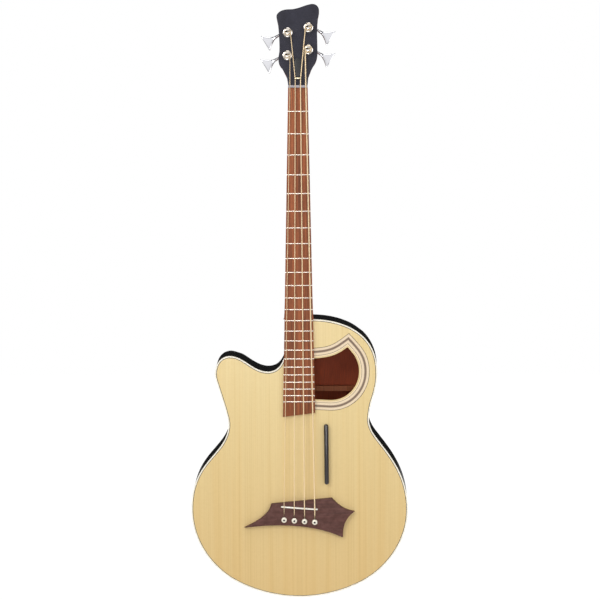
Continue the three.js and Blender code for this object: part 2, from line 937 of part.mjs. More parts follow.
function makeFingerboard() {
  const ring = (height, lift, slant = 0) => {
    const rise = Math.tan(THREE.MathUtils.degToRad(slant));
    const halfWidth = boardHalfWidth(height);
    const at = (x, y) => new THREE.Vector3(x, y, height + x * rise);
    const crown = Array.from({ length: camberFacets + 1 }, (_, i) => {
      const x = halfWidth * (1 - (2 * i) / camberFacets);
      return at(x, fingerboardFront + camberDrop(x) - lift);
    });
    return [at(-halfWidth, -seam), at(halfWidth, -seam), ...crown];
  };
  const rings = [ring(0, 0)];
  for (let n = 1; n <= fretCount; n++) {
    const height = fretHeightAt(n);
    rings.push(
      ring(height + fretHalfWidth, 0),
      ring(height, fretHeight),
      ring(height - fretHalfWidth, 0),
    );
  }
  rings.push(ring(boardEndHeight, 0, fingerboardEndSlant));
  return loft(rings);
}

// A section of the neck: flat in front, round behind, and squarer with more squareness.
function neckRing({ left, right, front, depth, squareness = roundSquareness, taper = 0 }) {
  const middle = (left + right) / 2;
  const halfWidth = (right - left) / 2;
  const power = 2 / squareness;
  const count = neckSectionPoints;
  const back = Array.from({ length: count }, (_, i) => {
    const angle = (Math.PI * i) / (count - 1);
    const across = Math.sign(Math.cos(angle)) * Math.abs(Math.cos(angle)) ** power;
    const behind = Math.abs(Math.sin(angle)) ** power;
    return new THREE.Vector2(
      middle + halfWidth * across * (1 - taper * behind),
      front + neckEdge + (depth - neckEdge) * behind,
    );
  });
  return [new THREE.Vector2(left, front), new THREE.Vector2(right, front), ...back];
}

const headstockMatrix = new THREE.Matrix4()
  .makeTranslation(0, 0, nutThickness)
  .multiply(new THREE.Matrix4().makeRotationX(-THREE.MathUtils.degToRad(headstockTilt)));
const onHeadstock = (x, depth, up) => new THREE.Vector3(x, depth, up).applyMatrix4(headstockMatrix);

const headstockLine = new THREE.SplineCurve(
  headstockShares.map(
    ([x, up]) => new THREE.Vector2(x * headstockHalfWidth, up * headstockLength),
  ),
).getPoints(headstockOutlineSteps);

const woodFront = overlayThickness + seam;

function neckDepth(height) {
  return (
    neckDepthAtNut + ((neckDepthAtHeel - neckDepthAtNut) * height) / shoulderHeight
  );
}

function makeNeck() {
  const shaftRing = (height, options) =>
    neckRing(options).map((p) => new THREE.Vector3(p.x, p.y, height));
  const heelFoot = shoulderHeight + seam;
  const heelDepth = depthAtShoulder - heelShy;
  const heelRings = heelShares.map((share) => {
    const height = heelFoot + heelLength * share * share;
    const swell = 1 - Math.sqrt(1 - (1 - share) ** 2);
    const halfWidth = boardHalfWidth(height) + heelSpread * swell;
    return shaftRing(height, {
      left: -halfWidth,
      right: halfWidth,
      front: 0,
      depth: neckDepth(height) + (heelDepth - neckDepth(height)) * swell,
      taper: heelTaper * swell,
    });
  });
  const shaftRings = [nutThickness, 0, shoulderHeight / 2].map((height) => {
    const halfWidth = boardHalfWidth(Math.min(height, 0)) - seam / 2;
    return shaftRing(height, {
      left: -halfWidth,
      right: halfWidth,
      front: 0,
      depth: neckDepth(height),
    });
  });
  const flareRings = [flareEnd, flareEnd - flareOverlap, flareOverlap, seam].map((up) => {
    const [left, right] = spanAt(headstockLine, up);
    const share = up / flareEnd;
    return neckRing({
      left: left + seam / 2,
      right: right - seam / 2,
      front: woodFront,
      depth: headstockThickness - woodFront,
      squareness: THREE.MathUtils.lerp(roundSquareness, flareSquareness, share),
    }).map((p) => onHeadstock(p.x, p.y, up));
  });
  const shaft = loft([...flareRings, ...shaftRings, ...heelRings]);
  const upperLine = headstockLine.filter((p) => p.y > flareEnd - flareOverlap);
  const slab = plate(upperLine, woodFront, headstockThickness).applyMatrix4(headstockMatrix);
  const tenon = box(
    -tenonHalfWidth,
    tenonHalfWidth,
    tenonFront,
    tenonBack,
    shoulderHeight - tenonLength,
    shoulderHeight + overrun,
  );
  const channel = box(
    -rodHalfWidth - seam,
    rodHalfWidth + seam,
    -overrun,
    rodBack + seam,
    rodEnd - seam,
    0,
  );
  const tunnel = rodBar(rodNutRadius + seam, -overrun, rodNutReach + seam);
  const wood = joined(shaft, slab, tenon);
  return cut(wood, channel, tunnel, rodPocket(woodFront), ...postHoles());
}

// A round bar along the truss rod's axis.
function rodBar(radius, lower, upper) {
  return bar(radius, lower, upper, shaftSides)
    .rotateX(Math.PI / 2)
    .translate(0, rodAxisDepth, 0);
}

function rodPocket(front) {
  return box(
    -rodPocketHalfWidth,
    rodPocketHalfWidth,
    front - overrun,
    rodPocketDepth,
    rodPocketStart,
    rodPocketEnd,
  ).applyMatrix4(headstockMatrix);
}

function makeTrussRod() {
  const bed = box(-rodHalfWidth, rodHalfWidth, rodFront, rodBack, rodEnd, -seam);
  return joined(bed, rodBar(rodNutRadius, -2 * seam, rodNutReach));
}

const posts = postPlaceShares.map(([x, up]) => ({
  x: x * headstockHalfWidth,
  up: up * headstockLength,
  side: Math.sign(x),
}));
const bushingBore = postRadius + runningGap;
const bushingRadius = bushingBore + bushingWall;

function postHoles() {
  return posts.map(({ x, up }) =>
    bar(bushingRadius + seam, -overrun, headstockThickness + overrun, bushingSides)
      .translate(x, 0, up)
      .applyMatrix4(headstockMatrix),
  );
}

function makeOverlay() {
  const face = headstockLine.map((p) => new THREE.Vector2(p.x, Math.max(p.y, seam)));
  const board = plate(face, 0, overlayThickness).applyMatrix4(headstockMatrix);
  return cut(board, rodPocket(0), ...postHoles());
}

function makeCover() {
  const edge = (side) =>
    coverShares.map(
      ([x, up]) => new THREE.Vector2(side * x * coverHalfWidth, up * coverLength),
    );
  const line = [...edge(1), ...edge(-1).reverse()];
  return plate(line, -seam - coverThickness, -seam)
    .translate(0, 0, coverStart)
    .applyMatrix4(headstockMatrix);
}

function makeRetainer() {
  const thickest = Math.max(strings[1].radius, strings[2].radius);
  const height = retainerStringHeight + thickest + seam + retainerRadius;
  const rail = bar(retainerRadius, -retainerHalfLength, retainerHalfLength, shaftSides)
    .rotateZ(Math.PI / 2)
    .translate(0, -height, retainerPlace);
  const stem = bar(retainerRadius, -height, -seam, shaftSides).translate(0, 0, retainerPlace);
  return joined(rail, stem).applyMatrix4(headstockMatrix);
}

// Strings
const fretCrown = fingerboardFront - fretHeight;
const nutStringDepth = (string) =>
  fretCrown - stringClearAtNut - string.radius + camberDrop(string.nutX);

function windingPoints(string, post, from) {
  const reach = postRadius + seam + string.radius;
  const gap = new THREE.Vector2(post.x - from.x, post.up - from.up);
  const swing = Math.asin(reach / gap.length()) * post.side;
  const run = Math.sqrt(gap.lengthSq() - reach * reach);
  const heading = gap.angle() + swing;
  const touch = new THREE.Vector2(
    from.x + run * Math.cos(heading),
    from.up + run * Math.sin(heading),
  );
  const start = Math.atan2(touch.y - post.up, touch.x - post.x);
  const rise = 2 * string.radius + windingGap;
  const first = bushingNutHeight + windingLift + string.radius;
  const count = Math.round(windingTurns * windingStepsPerTurn);
  return Array.from({ length: count + 1 }, (_, i) => {
    const turn = i / windingStepsPerTurn;
    const angle = start - post.side * turn * 2 * Math.PI;
    return onHeadstock(
      post.x + reach * Math.cos(angle),
      -first - rise * turn,
      post.up + reach * Math.sin(angle),
    );
  });
}

// The ball end lies crosswise under the bridge plate, beside the pin.
function ballCentre(string) {
  return new THREE.Vector3(
    string.saddleX,
    plateBack + seam + ballRadius,
    string.pinZ + pinShankRadius + seam + ballRadius,
  );
}

function stringPath(string, post, isHeldDown) {
  const hole = new THREE.Vector3(string.saddleX, 0, string.holeZ);
  const ramp = bridgeFront + stringRampDepth;
  const points = [
    ballCentre(string),
    hole.clone().setY(plateBack + seam),
    hole.clone().setY(ramp + string.radius),
    hole.clone().setY(ramp).setZ(string.holeZ + string.radius / 2),
    new THREE.Vector3(string.saddleX, saddleStringDepth(string), string.saddleZ),
    new THREE.Vector3(string.nutX, nutStringDepth(string), 0),
    new THREE.Vector3(string.nutX, nutStringDepth(string), nutThickness),
  ];
  let from = { x: string.nutX, up: 0 };
  if (isHeldDown) {
    from = { x: Math.sign(string.nutX) * retainerStringSpread, up: retainerPlace };
    points.push(onHeadstock(from.x, -retainerStringHeight, from.up));
  }
  points.push(...windingPoints(string, post, from));
  return points;
}

// A round tube along a path, its rings carried along without twist.
function tube(path, radius, sides) {
  const runs = path.slice(1).map((p, i) => p.clone().sub(path[i]).normalize());
  const tangents = path.map((_, i) =>
    (runs[i - 1] ?? runs[i]).clone().add(runs[i] ?? runs[i - 1]).normalize(),
  );
  let across = new THREE.Vector3(1, 0, 0).cross(tangents[0]).normalize();
  const rings = path.map((centre, i) => {
    across = across.clone().addScaledVector(tangents[i], -across.dot(tangents[i])).normalize();
    const other = new THREE.Vector3().crossVectors(tangents[i], across);
    return Array.from({ length: sides }, (_, k) => {
      const angle = (2 * Math.PI * k) / sides;
      return centre
        .clone()
        .addScaledVector(across, radius * Math.cos(angle))
        .addScaledVector(other, radius * Math.sin(angle));
    });
  });
  return loft(rings);
}

// The least clear distance between stretches of a tube that lie apart along it.
function leastSelfGap(path, radius, apart) {
  const probes = [];
  let travelled = 0;
  for (let i = 0; i + 1 < path.length; i++) {
    const length = path[i].distanceTo(path[i + 1]);
    const pieces = Math.ceil(length / gapProbeStep);
    for (let k = 0; k < pieces; k++)
      probes.push({
        at: path[i].clone().lerp(path[i + 1], k / pieces),
        way: travelled + (length * k) / pieces,
      });
    travelled += length;
  }
  let least = Infinity;
  probes.forEach((a, i) => {
    for (let j = i + 1; j < probes.length; j++)
      if (probes[j].way - a.way > apart)
        least = Math.min(least, a.at.distanceTo(probes[j].at));
  });
  return least - 2 * radius;
}

// The string nearest the middle of each side winds on the upper post.
const stringPaths = strings.map((string, i) => {
  const isHeldDown = i > 0 && i < strings.length - 1;
  return stringPath(string, posts[i], isHeldDown);
});

function makeString(i) {
  const string = strings[i];
  const path = stringPaths[i];
  const halfTurn = Math.PI * (postRadius + string.radius);
  const gap = leastSelfGap(path, string.radius, halfTurn);
  console.log(`string ${i + 1}: least gap to itself ${gap.toFixed(2)} mm`);
  const ball = bar(ballRadius, -ballLength / 2, ballLength / 2, ballSides)
    .rotateZ(Math.PI / 2)
    .translate(...ballCentre(string).toArray());
  return joined(tube(path, string.radius, stringSides), ball);
}

function makeNut() {
  const crown = Array.from({ length: camberFacets * 2 + 1 }, (_, i) => {
    const x = nutHalfWidth * (1 - i / camberFacets);
    return new THREE.Vector2(x, fretCrown - stringClearAtNut - nutLip + camberDrop(x));
  });
  const profile = [
    new THREE.Vector2(-nutHalfWidth, -seam),
    new THREE.Vector2(nutHalfWidth, -seam),
    ...crown,
  ];
  const block = new THREE.ExtrudeGeometry(new THREE.Shape(profile), {
    depth: nutThickness - seam,
    bevelEnabled: false,
  }).translate(0, 0, seam);
  const slots = strings.map((string) =>
    bar(string.radius + seam, -overrun, nutThickness + overrun, shaftSides)
      .rotateX(Math.PI / 2)
      .translate(string.nutX, nutStringDepth(string), 0),
  );
  return cut(block, ...slots);
}

// Machine heads. Each is drawn round its post, with its worm shaft along X.
const wormOffset = wheelPitchRadius + wormPitchRadius;
const wheelMiddle = headstockThickness + seam + wheelDepth;
const housingFront = headstockThickness + seam;
const housingBack = housingFront + housingDepth;

// A round bar along the worm's axis.
function wormBar(radius, from, to, side, sides) {
  return bar(radius, from, to, sides)
    .rotateZ(-Math.PI / 2)
    .translate(0, wheelMiddle, side * wormOffset);
}

function makeHousing(side) {
  const sleeveRadius = wormPitchRadius + toothHalfDepth + runningGap + housingWall;
  const chamberRadius = sleeveRadius - housingWall;
  const body = joined(
    bar(housingRadius, housingFront, housingBack, housingSides),
    wormBar(sleeveRadius, -wormChamberHalfLength - housingWall, sleeveLength, side, housingSides),
    bar(earRadius, housingFront, housingFront + earDepth, shaftSides).translate(-earReach, 0, 0),
  );
  const wheelRoom = wheelPitchRadius + toothHalfDepth + runningGap;
  const wheelEnd = wheelMiddle + wheelThickness / 2 + runningGap;
  return cut(
    body,
    bar(wheelRoom, housingFront - overrun, wheelEnd, housingSides),
    bar(journalRadius + runningGap, wheelMiddle, housingBack - housingWall, shaftSides),
    wormBar(chamberRadius, -wormChamberHalfLength, wormChamberHalfLength, side, shaftSides),
    wormBar(shaftRadius + runningGap, 0, sleeveLength + overrun, side, shaftSides),
    wheelSlit(side, wheelEnd),
  );
}

// Opens the worm's chamber to the wheel's room right across.
function wheelSlit(side, wheelEnd) {
  const depth = wheelEnd - wheelMiddle;
  return box(
    -wormChamberHalfLength,
    wormChamberHalfLength,
    wheelMiddle - depth,
    wheelMiddle + depth,
    Math.min(0, side * wormOffset),
    Math.max(0, side * wormOffset),
  );
}

function makeBushing() {
  return turned(
    [
      [bushingBore, headstockThickness],
      [bushingRadius, headstockThickness],
      [bushingRadius, -seam],
      [washerRadius, -seam],
      [washerRadius, -washerHeight * bevelHeightShare],
      [washerRadius * bevelShare, -washerHeight],
      [bushingNutRadius, -washerHeight],
      [bushingNutRadius * bevelShare, -bushingNutHeight],
      [bushingBore, -bushingNutHeight],
      [bushingBore, headstockThickness],
    ],
    bushingSides,
  );
}

// The worm wheel's outline, with a gap between teeth facing the worm.
function wheelLine(side) {
  const pitchAngle = (2 * Math.PI) / wheelTeeth;
  const towardsWorm = side > 0 ? Math.PI / 2 : -Math.PI / 2;
  const tip = wheelPitchRadius + toothHalfDepth;
  const root = wheelPitchRadius - toothHalfDepth - runningGap;
  const corners = [
    [root, -toothRootHalfWidth],
    [tip, -toothTipHalfWidth],
    [tip, toothTipHalfWidth],
    [root, toothRootHalfWidth],
  ];
  return Array.from({ length: wheelTeeth }, (_, i) => i).flatMap((i) =>
    corners.map(([radius, across]) => {
      const angle = towardsWorm + (i + 0.5) * pitchAngle + across / radius;
      return new THREE.Vector2(radius * Math.cos(angle), radius * Math.sin(angle));
    }),
  );
}

function makePost(side) {
  const wheelFront = wheelMiddle - wheelThickness / 2;
  const wheelBack = wheelMiddle + wheelThickness / 2;
  const post = turned(
    [
      [0, housingBack - housingWall - runningGap],
      [journalRadius, housingBack - housingWall - runningGap],
      [journalRadius, wheelFront],
      [postRadius - 2 * runningGap, wheelFront],
      [postRadius - 2 * runningGap, headstockThickness - overrun],
      [postRadius, headstockThickness - overrun],
      [postRadius, -postHeight + postCapHeight],
      [postCapRadius, -postHeight + postCapHeight / 2],
      [postCapRadius, -postHeight + postCapHeight / 4],
      [postCapRadius * bevelShare, -postHeight],
      [0, -postHeight],
    ],
    postSides,
  );
  const slot = box(
    -postCapRadius - overrun,
    postCapRadius + overrun,
    -postHeight - overrun,
    -postHeight + postSlotDepth,
    -postSlotHalfWidth,
    postSlotHalfWidth,
  ).rotateY(-THREE.MathUtils.degToRad(knobAngle) * side);
  const bore = bar(postBoreRadius, -postHeight - overrun, -postHeight + postBoreDepth, shaftSides);
  return cut(joined(post, plate(wheelLine(side), wheelFront, wheelBack)), slot, bore);
}

// The worm's thread as a three-sided ridge round its core.
function makeThread(side) {
  const pitch = (2 * Math.PI * wheelPitchRadius) / wheelTeeth;
  const crest = wormPitchRadius + toothHalfDepth;
  const steps = wormTurns * wormStepsPerTurn;
  const rings = Array.from({ length: steps + 1 }, (_, i) => {
    const turn = i / wormStepsPerTurn - wormTurns / 2;
    const angle = 2 * Math.PI * turn;
    const at = (radius, across) =>
      new THREE.Vector3(
        pitch * turn + across,
        wheelMiddle + side * radius * Math.sin(angle),
        side * (wormOffset - radius * Math.cos(angle)),
      );
    const sunk = wormCoreRadius - runningGap;
    return [at(sunk, -threadBaseHalfWidth), at(sunk, threadBaseHalfWidth), at(crest, 0)];
  });
  return loft(rings);
}

function knobLine() {
  const start = knobNeckReach;
  const end = start + knobLength;
  const edge = (sign) =>
    new THREE.QuadraticBezierCurve(
      new THREE.Vector2(start, sign * knobNeckHalfWidth),
      new THREE.Vector2(start + knobLength * knobWaistShare, sign * knobNeckHalfWidth),
      new THREE.Vector2(end, sign * knobHalfWidth),
    ).getPoints(fewestSteps + 1);
  const hollow = new THREE.QuadraticBezierCurve(
    new THREE.Vector2(end, knobHalfWidth),
    new THREE.Vector2(end - knobEndHollow, 0),
    new THREE.Vector2(end, -knobHalfWidth),
  ).getPoints(fewestSteps);
  return [...edge(1), ...hollow.slice(1, -1), ...edge(-1).reverse()];
}

function makeKnob(side) {
  const depth = wheelMiddle;
  const blade = plate(knobLine(), depth - knobThickness / 2, depth + knobThickness / 2).translate(
    0,
    0,
    side * wormOffset,
  );
  const farEnd = -wormChamberHalfLength + runningGap;
  return joined(
    wormBar(wormCoreRadius, farEnd, wormChamberHalfLength, side, shaftSides),
    wormBar(shaftRadius, wormChamberHalfLength - runningGap, knobNeckReach + overrun, side, shaftSides),
    wormBar(knobStemRadius, sleeveLength + runningGap, knobNeckReach + seam, side, shaftSides),
    makeThread(side),
    blade,
  );
}

function makeThumbRest() {
  const radius = thumbRestHalfWidth;
  const upperEnd = boardEndHeight - thumbRestBelowBoard;
  const run = upperEnd - saddleHeight - thumbRestAboveSaddle;
  const arc = (centre, from) =>
    Array.from({ length: thumbRestEndSteps + 1 }, (_, i) => {
      const angle = from + (Math.PI * i) / thumbRestEndSteps;
      return new THREE.Vector2(radius * Math.cos(angle), centre + radius * Math.sin(angle));
    });
  const line = [...arc(-radius, 0), ...arc(radius - run, Math.PI)];
  const lean = THREE.MathUtils.degToRad(thumbRestLean);
  return plate(line, -seam - thumbRestHeight, -seam)
    .rotateY(-lean)
    .translate(thumbRestOffset, 0, upperEnd);
}

// Finishes
function finish(color, roughness, metalness = 0) {
  return new THREE.MeshStandardMaterial({ color, roughness, metalness, flatShading: true });
}
const spruce = finish("#e6c98c", 0.35);
const spruceBare = finish("#d9bd86", 0.8);
const mahogany = finish("#7c3f22", 0.6);
const rosewood = finish("#4a2c26", 0.55);
const redwood = finish("#9a5a3f", 0.55);
const blackGloss = finish("#141416", 0.15);
const blackSatin = finish("#1e1e22", 0.45);
const cream = finish("#efe6cf", 0.35);
const bone = finish("#f2efe6", 0.4);
const greyNut = finish("#4b4a4c", 0.5);
const chrome = finish("#d4d6d8", 0.15, 1);
const steel = finish("#9a9ca0", 0.35, 1);
const brass = finish("#d9b96a", 0.3, 1);
const bronze = finish("#c9a878", 0.35, 1);

const guitar = new THREE.Group();
guitar.position.set(0, -hangerDepth, -hangerHeight);

function add(parent, name, material, geometry) {
  const mesh = new THREE.Mesh(geometry, material);
  mesh.name = name;
  parent.add(mesh);
  return mesh;
}

const body = new THREE.Group();
guitar.add(body);
add(body, "top", spruce, makeTop());
add(body, "back", mahogany, makeBack());
add(body, "side_bass", blackGloss, makeSide(1));
add(body, "side_treble", blackGloss, makeSide(-1));
add(body, "top_binding", cream, makeBinding(true));
add(body, "back_binding", blackGloss, makeBinding(false));
add(body, "rosette", rosewood, rosette);
add(body, "neck_block", mahogany, cut(makeBlock(neckBlockSpace(0)), tenonSlot));
add(body, "tail_block", mahogany, makeBlock(tailBlockSpace(0)));
add(body, "top_lining_bass", mahogany, makeLining(1, true));
add(body, "top_lining_treble", mahogany, makeLining(-1, true));
add(body, "back_lining_bass", mahogany, makeLining(1, false));
add(body, "back_lining_treble", mahogany, makeLining(-1, false));
add(body, "x_brace_bass", spruceBare, makeCrossBrace(1));
add(body, "x_brace_treble", spruceBare, makeCrossBrace(-1));
add(body, "tone_bar_upper", spruceBare, makeToneBar(toneBarShares[0]));
add(body, "tone_bar_lower", spruceBare, makeToneBar(toneBarShares[1]));
add(body, "fingerboard_patch", spruceBare, makePatch());
add(body, "bridge_plate", rosewood, makeBridgePlate());
add(body, "back_strip", spruceBare, backStripSpace(0));
backBraceShares.forEach((share, i) =>
  add(body, `back_brace_${i + 1}`, spruceBare, makeBackBrace(share)),
);
add(body, "bridge", rosewood, makeBridge());
add(body, "saddle", bone, makeSaddle());
strings.forEach(({ saddleX, pinZ }, i) => {
  add(body, `bridge_pin_${i + 1}`, cream, makePin()).position.set(saddleX, 0, pinZ);
});
add(body, "thumb_rest", blackSatin, makeThumbRest());

const neck = new THREE.Group();
guitar.add(neck);
add(neck, "neck", mahogany, makeNeck());
add(neck, "fingerboard", redwood, makeFingerboard());
add(neck, "nut", greyNut, makeNut());
add(neck, "truss_rod", steel, makeTrussRod());
add(neck, "headstock_overlay", blackSatin, makeOverlay());
add(neck, "truss_rod_cover", blackSatin, makeCover());
add(neck, "string_retainer", brass, makeRetainer());

const headstock = new THREE.Group();
headstock.applyMatrix4(headstockMatrix);
neck.add(headstock);
posts.forEach(({ x, up, side }, i) => {
  const tuner = new THREE.Group();
  tuner.position.set(x, 0, up);
  tuner.rotation.y = THREE.MathUtils.degToRad(side > 0 ? knobAngle : 180 - knobAngle);
  headstock.add(tuner);
  const name = `tuner_${i + 1}`;
  add(tuner, `${name}_housing`, chrome, makeHousing(side));
  add(tuner, `${name}_bushing`, chrome, makeBushing());
  add(tuner, `${name}_post`, chrome, makePost(side));
  add(tuner, `${name}_knob`, chrome, makeKnob(side));
});

const stringSet = new THREE.Group();
guitar.add(stringSet);
strings.forEach((_, i) => add(stringSet, `string_${i + 1}`, bronze, makeString(i)));

export default guitar;
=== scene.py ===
"""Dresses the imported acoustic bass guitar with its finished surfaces."""

import json
import math
from itertools import accumulate

import bmesh
import bpy
from bpy.props import FloatProperty, FloatVectorProperty, IntProperty, PointerProperty
from mathutils import Matrix, Vector


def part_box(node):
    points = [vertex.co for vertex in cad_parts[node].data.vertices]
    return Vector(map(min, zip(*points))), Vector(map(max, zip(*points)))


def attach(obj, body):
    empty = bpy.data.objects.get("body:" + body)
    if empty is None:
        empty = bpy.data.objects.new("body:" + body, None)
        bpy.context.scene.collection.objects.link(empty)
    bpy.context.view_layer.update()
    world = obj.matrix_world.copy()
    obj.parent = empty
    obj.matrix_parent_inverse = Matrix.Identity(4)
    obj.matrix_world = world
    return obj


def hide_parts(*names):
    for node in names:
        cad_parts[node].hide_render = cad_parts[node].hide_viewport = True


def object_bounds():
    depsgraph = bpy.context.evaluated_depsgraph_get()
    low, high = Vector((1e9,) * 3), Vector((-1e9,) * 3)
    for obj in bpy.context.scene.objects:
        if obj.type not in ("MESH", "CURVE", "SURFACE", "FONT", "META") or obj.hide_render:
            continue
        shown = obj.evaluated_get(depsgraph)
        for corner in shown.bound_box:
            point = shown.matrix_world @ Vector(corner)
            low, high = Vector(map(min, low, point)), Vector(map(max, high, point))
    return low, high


bl_info = {
    "name": "Acoustic bass guitar",
    "version": (1, 0, 0),
    "blender": (4, 5, 0),
    "location": "3D View > Sidebar > Bass guitar",
    "description": "Builds the finished surfaces of an acoustic bass guitar round its packed solids",
    "category": "Object",
}

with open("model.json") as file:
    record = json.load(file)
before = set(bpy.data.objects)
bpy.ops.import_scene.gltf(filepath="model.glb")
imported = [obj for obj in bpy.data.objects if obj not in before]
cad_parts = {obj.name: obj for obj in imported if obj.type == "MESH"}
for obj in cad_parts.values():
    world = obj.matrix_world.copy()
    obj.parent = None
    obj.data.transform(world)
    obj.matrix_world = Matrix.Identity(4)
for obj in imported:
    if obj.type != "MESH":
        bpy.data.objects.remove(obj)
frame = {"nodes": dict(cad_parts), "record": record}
CAD_BOX = [list(corner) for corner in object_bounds()]
GUITAR = "guitar"

# Where the front of the top at the nut's end lies in the frame
ZERO = Vector((0, -0.009, -0.02))
MM = 0.001
# Corners closer than this are one corner
MERGE = 0.02 * MM
# Faces that bend by less than this are joined, and a line that bends by more has a corner
FLAT = math.radians(0.6)
CORNER = math.radians(35)
# Glue line between neighbouring pieces, and the gap round a piece that turns
SEAM = 0.3 * MM
PLAY = 0.35 * MM
# Depth of a surface's relief, which the strength of its bump scales
RELIEF = 0.2 * MM
WHITE = (1, 1, 1, 1)


def linear(code):
    """Linear RGBA of an sRGB hex colour."""
    parts = [int(code[i : i + 2], 16) / 255 for i in (1, 3, 5)]
    low = [c / 12.92 for c in parts]
    high = [((c + 0.055) / 1.055) ** 2.4 for c in parts]
    return [a if c <= 0.04045 else b for c, a, b in zip(parts, low, high)] + [1.0]


def length(name, default, text):
    """A length property, in metres."""
    return FloatProperty(name=name, default=default, description=text, unit="LENGTH", precision=5)


def slope(name, degrees, text):
    """An angle property, from degrees."""
    turn = math.radians(degrees)
    return FloatProperty(name=name, default=turn, description=text, subtype="ANGLE")


def paint(name, code, text):
    """A colour property whose default is an sRGB hex value."""
    return FloatVectorProperty(
        name=name, default=linear(code), description=text, subtype="COLOR", size=4, min=0, max=1
    )


class BASS_PG_body(bpy.types.PropertyGroup):
    """Sizes of the body's trim."""

    purfling: length("Purfling", 0.0009, "Width of the dark line inside the binding")
    edge: length("Edge", 0.0007, "Rounding of the binding's edges")
    line: length("Rosette line", 0.0009, "Width of the thin dark lines of the rosette")
    light: length("Rosette band", 0.0046, "Width of the light bands of the rosette")
    core: length("Rosette core", 0.0010, "Width of the brown bands beside the rosette's middle")
    lip: length("Rosette lip", 0.0026, "Width of the light strip beside the soundhole")
    rest: length("Thumb rest edge", 0.0042, "Rounding of the thumb rest")
    bridge: length("Bridge edge", 0.0016, "Rounding of the bridge's front edge")


class BASS_PG_neck(bpy.types.PropertyGroup):
    """Sizes of the neck, fingerboard and strings."""

    scale: length("Scale length", 0.864, "Speaking length the frets are set out on")
    frets: IntProperty(name="Frets", default=24, description="Number of frets")
    nut: length("Nut half width", 0.020, "Half width of the fingerboard at the nut")
    last: length("Last fret half width", 0.03275, "Half width of the fingerboard at the last fret")
    tongue: length("Tongue", 0.0276, "Fingerboard beyond the last fret")
    slant: slope("End slant", 7.3, "Slope of the fingerboard's end")
    thick: length("Board thickness", 0.006, "Thickness of the fingerboard")
    camber: length("Camber radius", 0.4, "Radius of the fingerboard's rounding")
    fret: length("Fret half width", 0.0012, "Half width of a fret wire")
    edge: length("Headstock edge", 0.0009, "Rounding of the headstock face's edge")


class BASS_PG_head(bpy.types.PropertyGroup):
    """Sizes of the headstock's machine heads."""

    tilt: slope("Tilt", 9, "Tilt of the headstock")
    key: slope("Key angle", 31, "Slope of the keys")
    wood: length("Headstock thickness", 0.015, "Thickness of the headstock")
    post: length("Post radius", 0.0046, "Radius of a string post")
    cap: length("Cap radius", 0.0058, "Radius of a post's cap")
    height: length("Post height", 0.019, "Height of a post above the headstock")
    washer: length("Washer radius", 0.010, "Radius of a bushing's washer")
    worm: length("Worm offset", 0.0065, "Distance between post and worm shaft")
    middle: length("Wheel depth", 0.0213, "Depth of the worm shaft behind the headstock's face")
    can: length("Housing radius", 0.0082, "Radius of a housing")
    shaft: length("Shaft radius", 0.0019, "Radius of a key's shaft")
    blade: length("Blade half width", 0.0172, "Half width of a key's blade")
    neck: length("Blade neck", 0.003, "Half width of a key's blade where it starts")
    stem: length("Stem radius", 0.0031, "Radius of a key's stem")
    blade_start: length("Blade start", 0.026, "Distance from post to blade")
    blade_length: length("Blade length", 0.023, "Length of a key's blade")


class BASS_PG_strings(bpy.types.PropertyGroup):
    """Sizes of the strings and their anchorage."""

    thin: length("Thinnest string", 0.00114, "Diameter of the thinnest string")
    step: length("String step", 0.00051, "How much thicker each string is than its neighbour")
    nut: length("Spacing at the nut", 0.0108, "Distance between strings at the nut")
    saddle: length("Spacing at the saddle", 0.0212, "Distance between strings at the saddle")
    back: length("Saddle setback", 0.0064, "Saddle's distance beyond the scale length")
    pins: length("Pin row", 0.0272, "Distance from the saddle to the pins")
    pin_slant: slope("Anchor slant", 4.2, "Slope of the saddle and the pin row")


class BASS_PG_finish(bpy.types.PropertyGroup):
    """Colours of the materials."""

    # The two soundboard colours are blended by height: the darker one towards the tail is partly painted
    # shade, the paler one towards the neck partly painted sheen, over the wood's own tone
    spruce: paint("Spruce", "#ead39a", "Lacquered soundboard towards the neck")
    spruce_shaded: paint("Deep spruce", "#dabb80", "Lacquered soundboard towards the tail")
    bare: paint("Bare spruce", "#cfa873", "Braces and the inside of the soundboard")
    mahogany: paint("Mahogany", "#8c4223", "Neck")
    inside: paint("Inside", "#a0421b", "Bare mahogany inside the body")
    brace: paint("Brace", "#a05a34", "Braces across the back")
    board: paint("Fingerboard", "#9c5a34", "Reddish fingerboard wood")
    bridge: paint("Bridge", "#59372f", "Dark bridge wood")
    lacquer: paint("Lacquer", "#0b0b0c", "Black gloss lacquer of sides and back")
    satin: paint("Satin black", "#2a2934", "Face of the headstock")
    cream: paint("Cream", "#fbf4e2", "Binding and bridge pins")
    bone: paint("Bone", "#f4efe2", "Saddle")
    nut: paint("Nut", "#a39da3", "Grey nut")
    chrome: paint("Chrome", "#e6e6ea", "Keys and housings")
    nickel: paint("Nickel", "#e6ded4", "Washers and posts")
    gold: paint("Gold", "#fff0c8", "String retainer")
    bronze: paint("Bronze", "#ffe4b8", "Wound strings")
    fret: paint("Fret wire", "#f0e6da", "Frets")


def sizes(part):
    """One of the scene's property groups by its short name."""
    return getattr(bpy.context.scene, "bass_" + part)


# Materials


def add(tree, kind, sockets=None, **settings):
    """A node with its settings. A socket takes a value, or another node's output as a link."""
    node = tree.nodes.new(kind)
    for name, value in settings.items():
        setattr(node, name, value)
    for name, value in (sockets or {}).items():
        if isinstance(value, bpy.types.NodeSocket):
            tree.links.new(value, node.inputs[name])
        else:
            node.inputs[name].default_value = value
    return node


def start(name):
    """A new material and its empty tree."""
    material = bpy.data.materials.new(name)
    material.use_nodes = True
    material.node_tree.nodes.clear()
    return material, material.node_tree


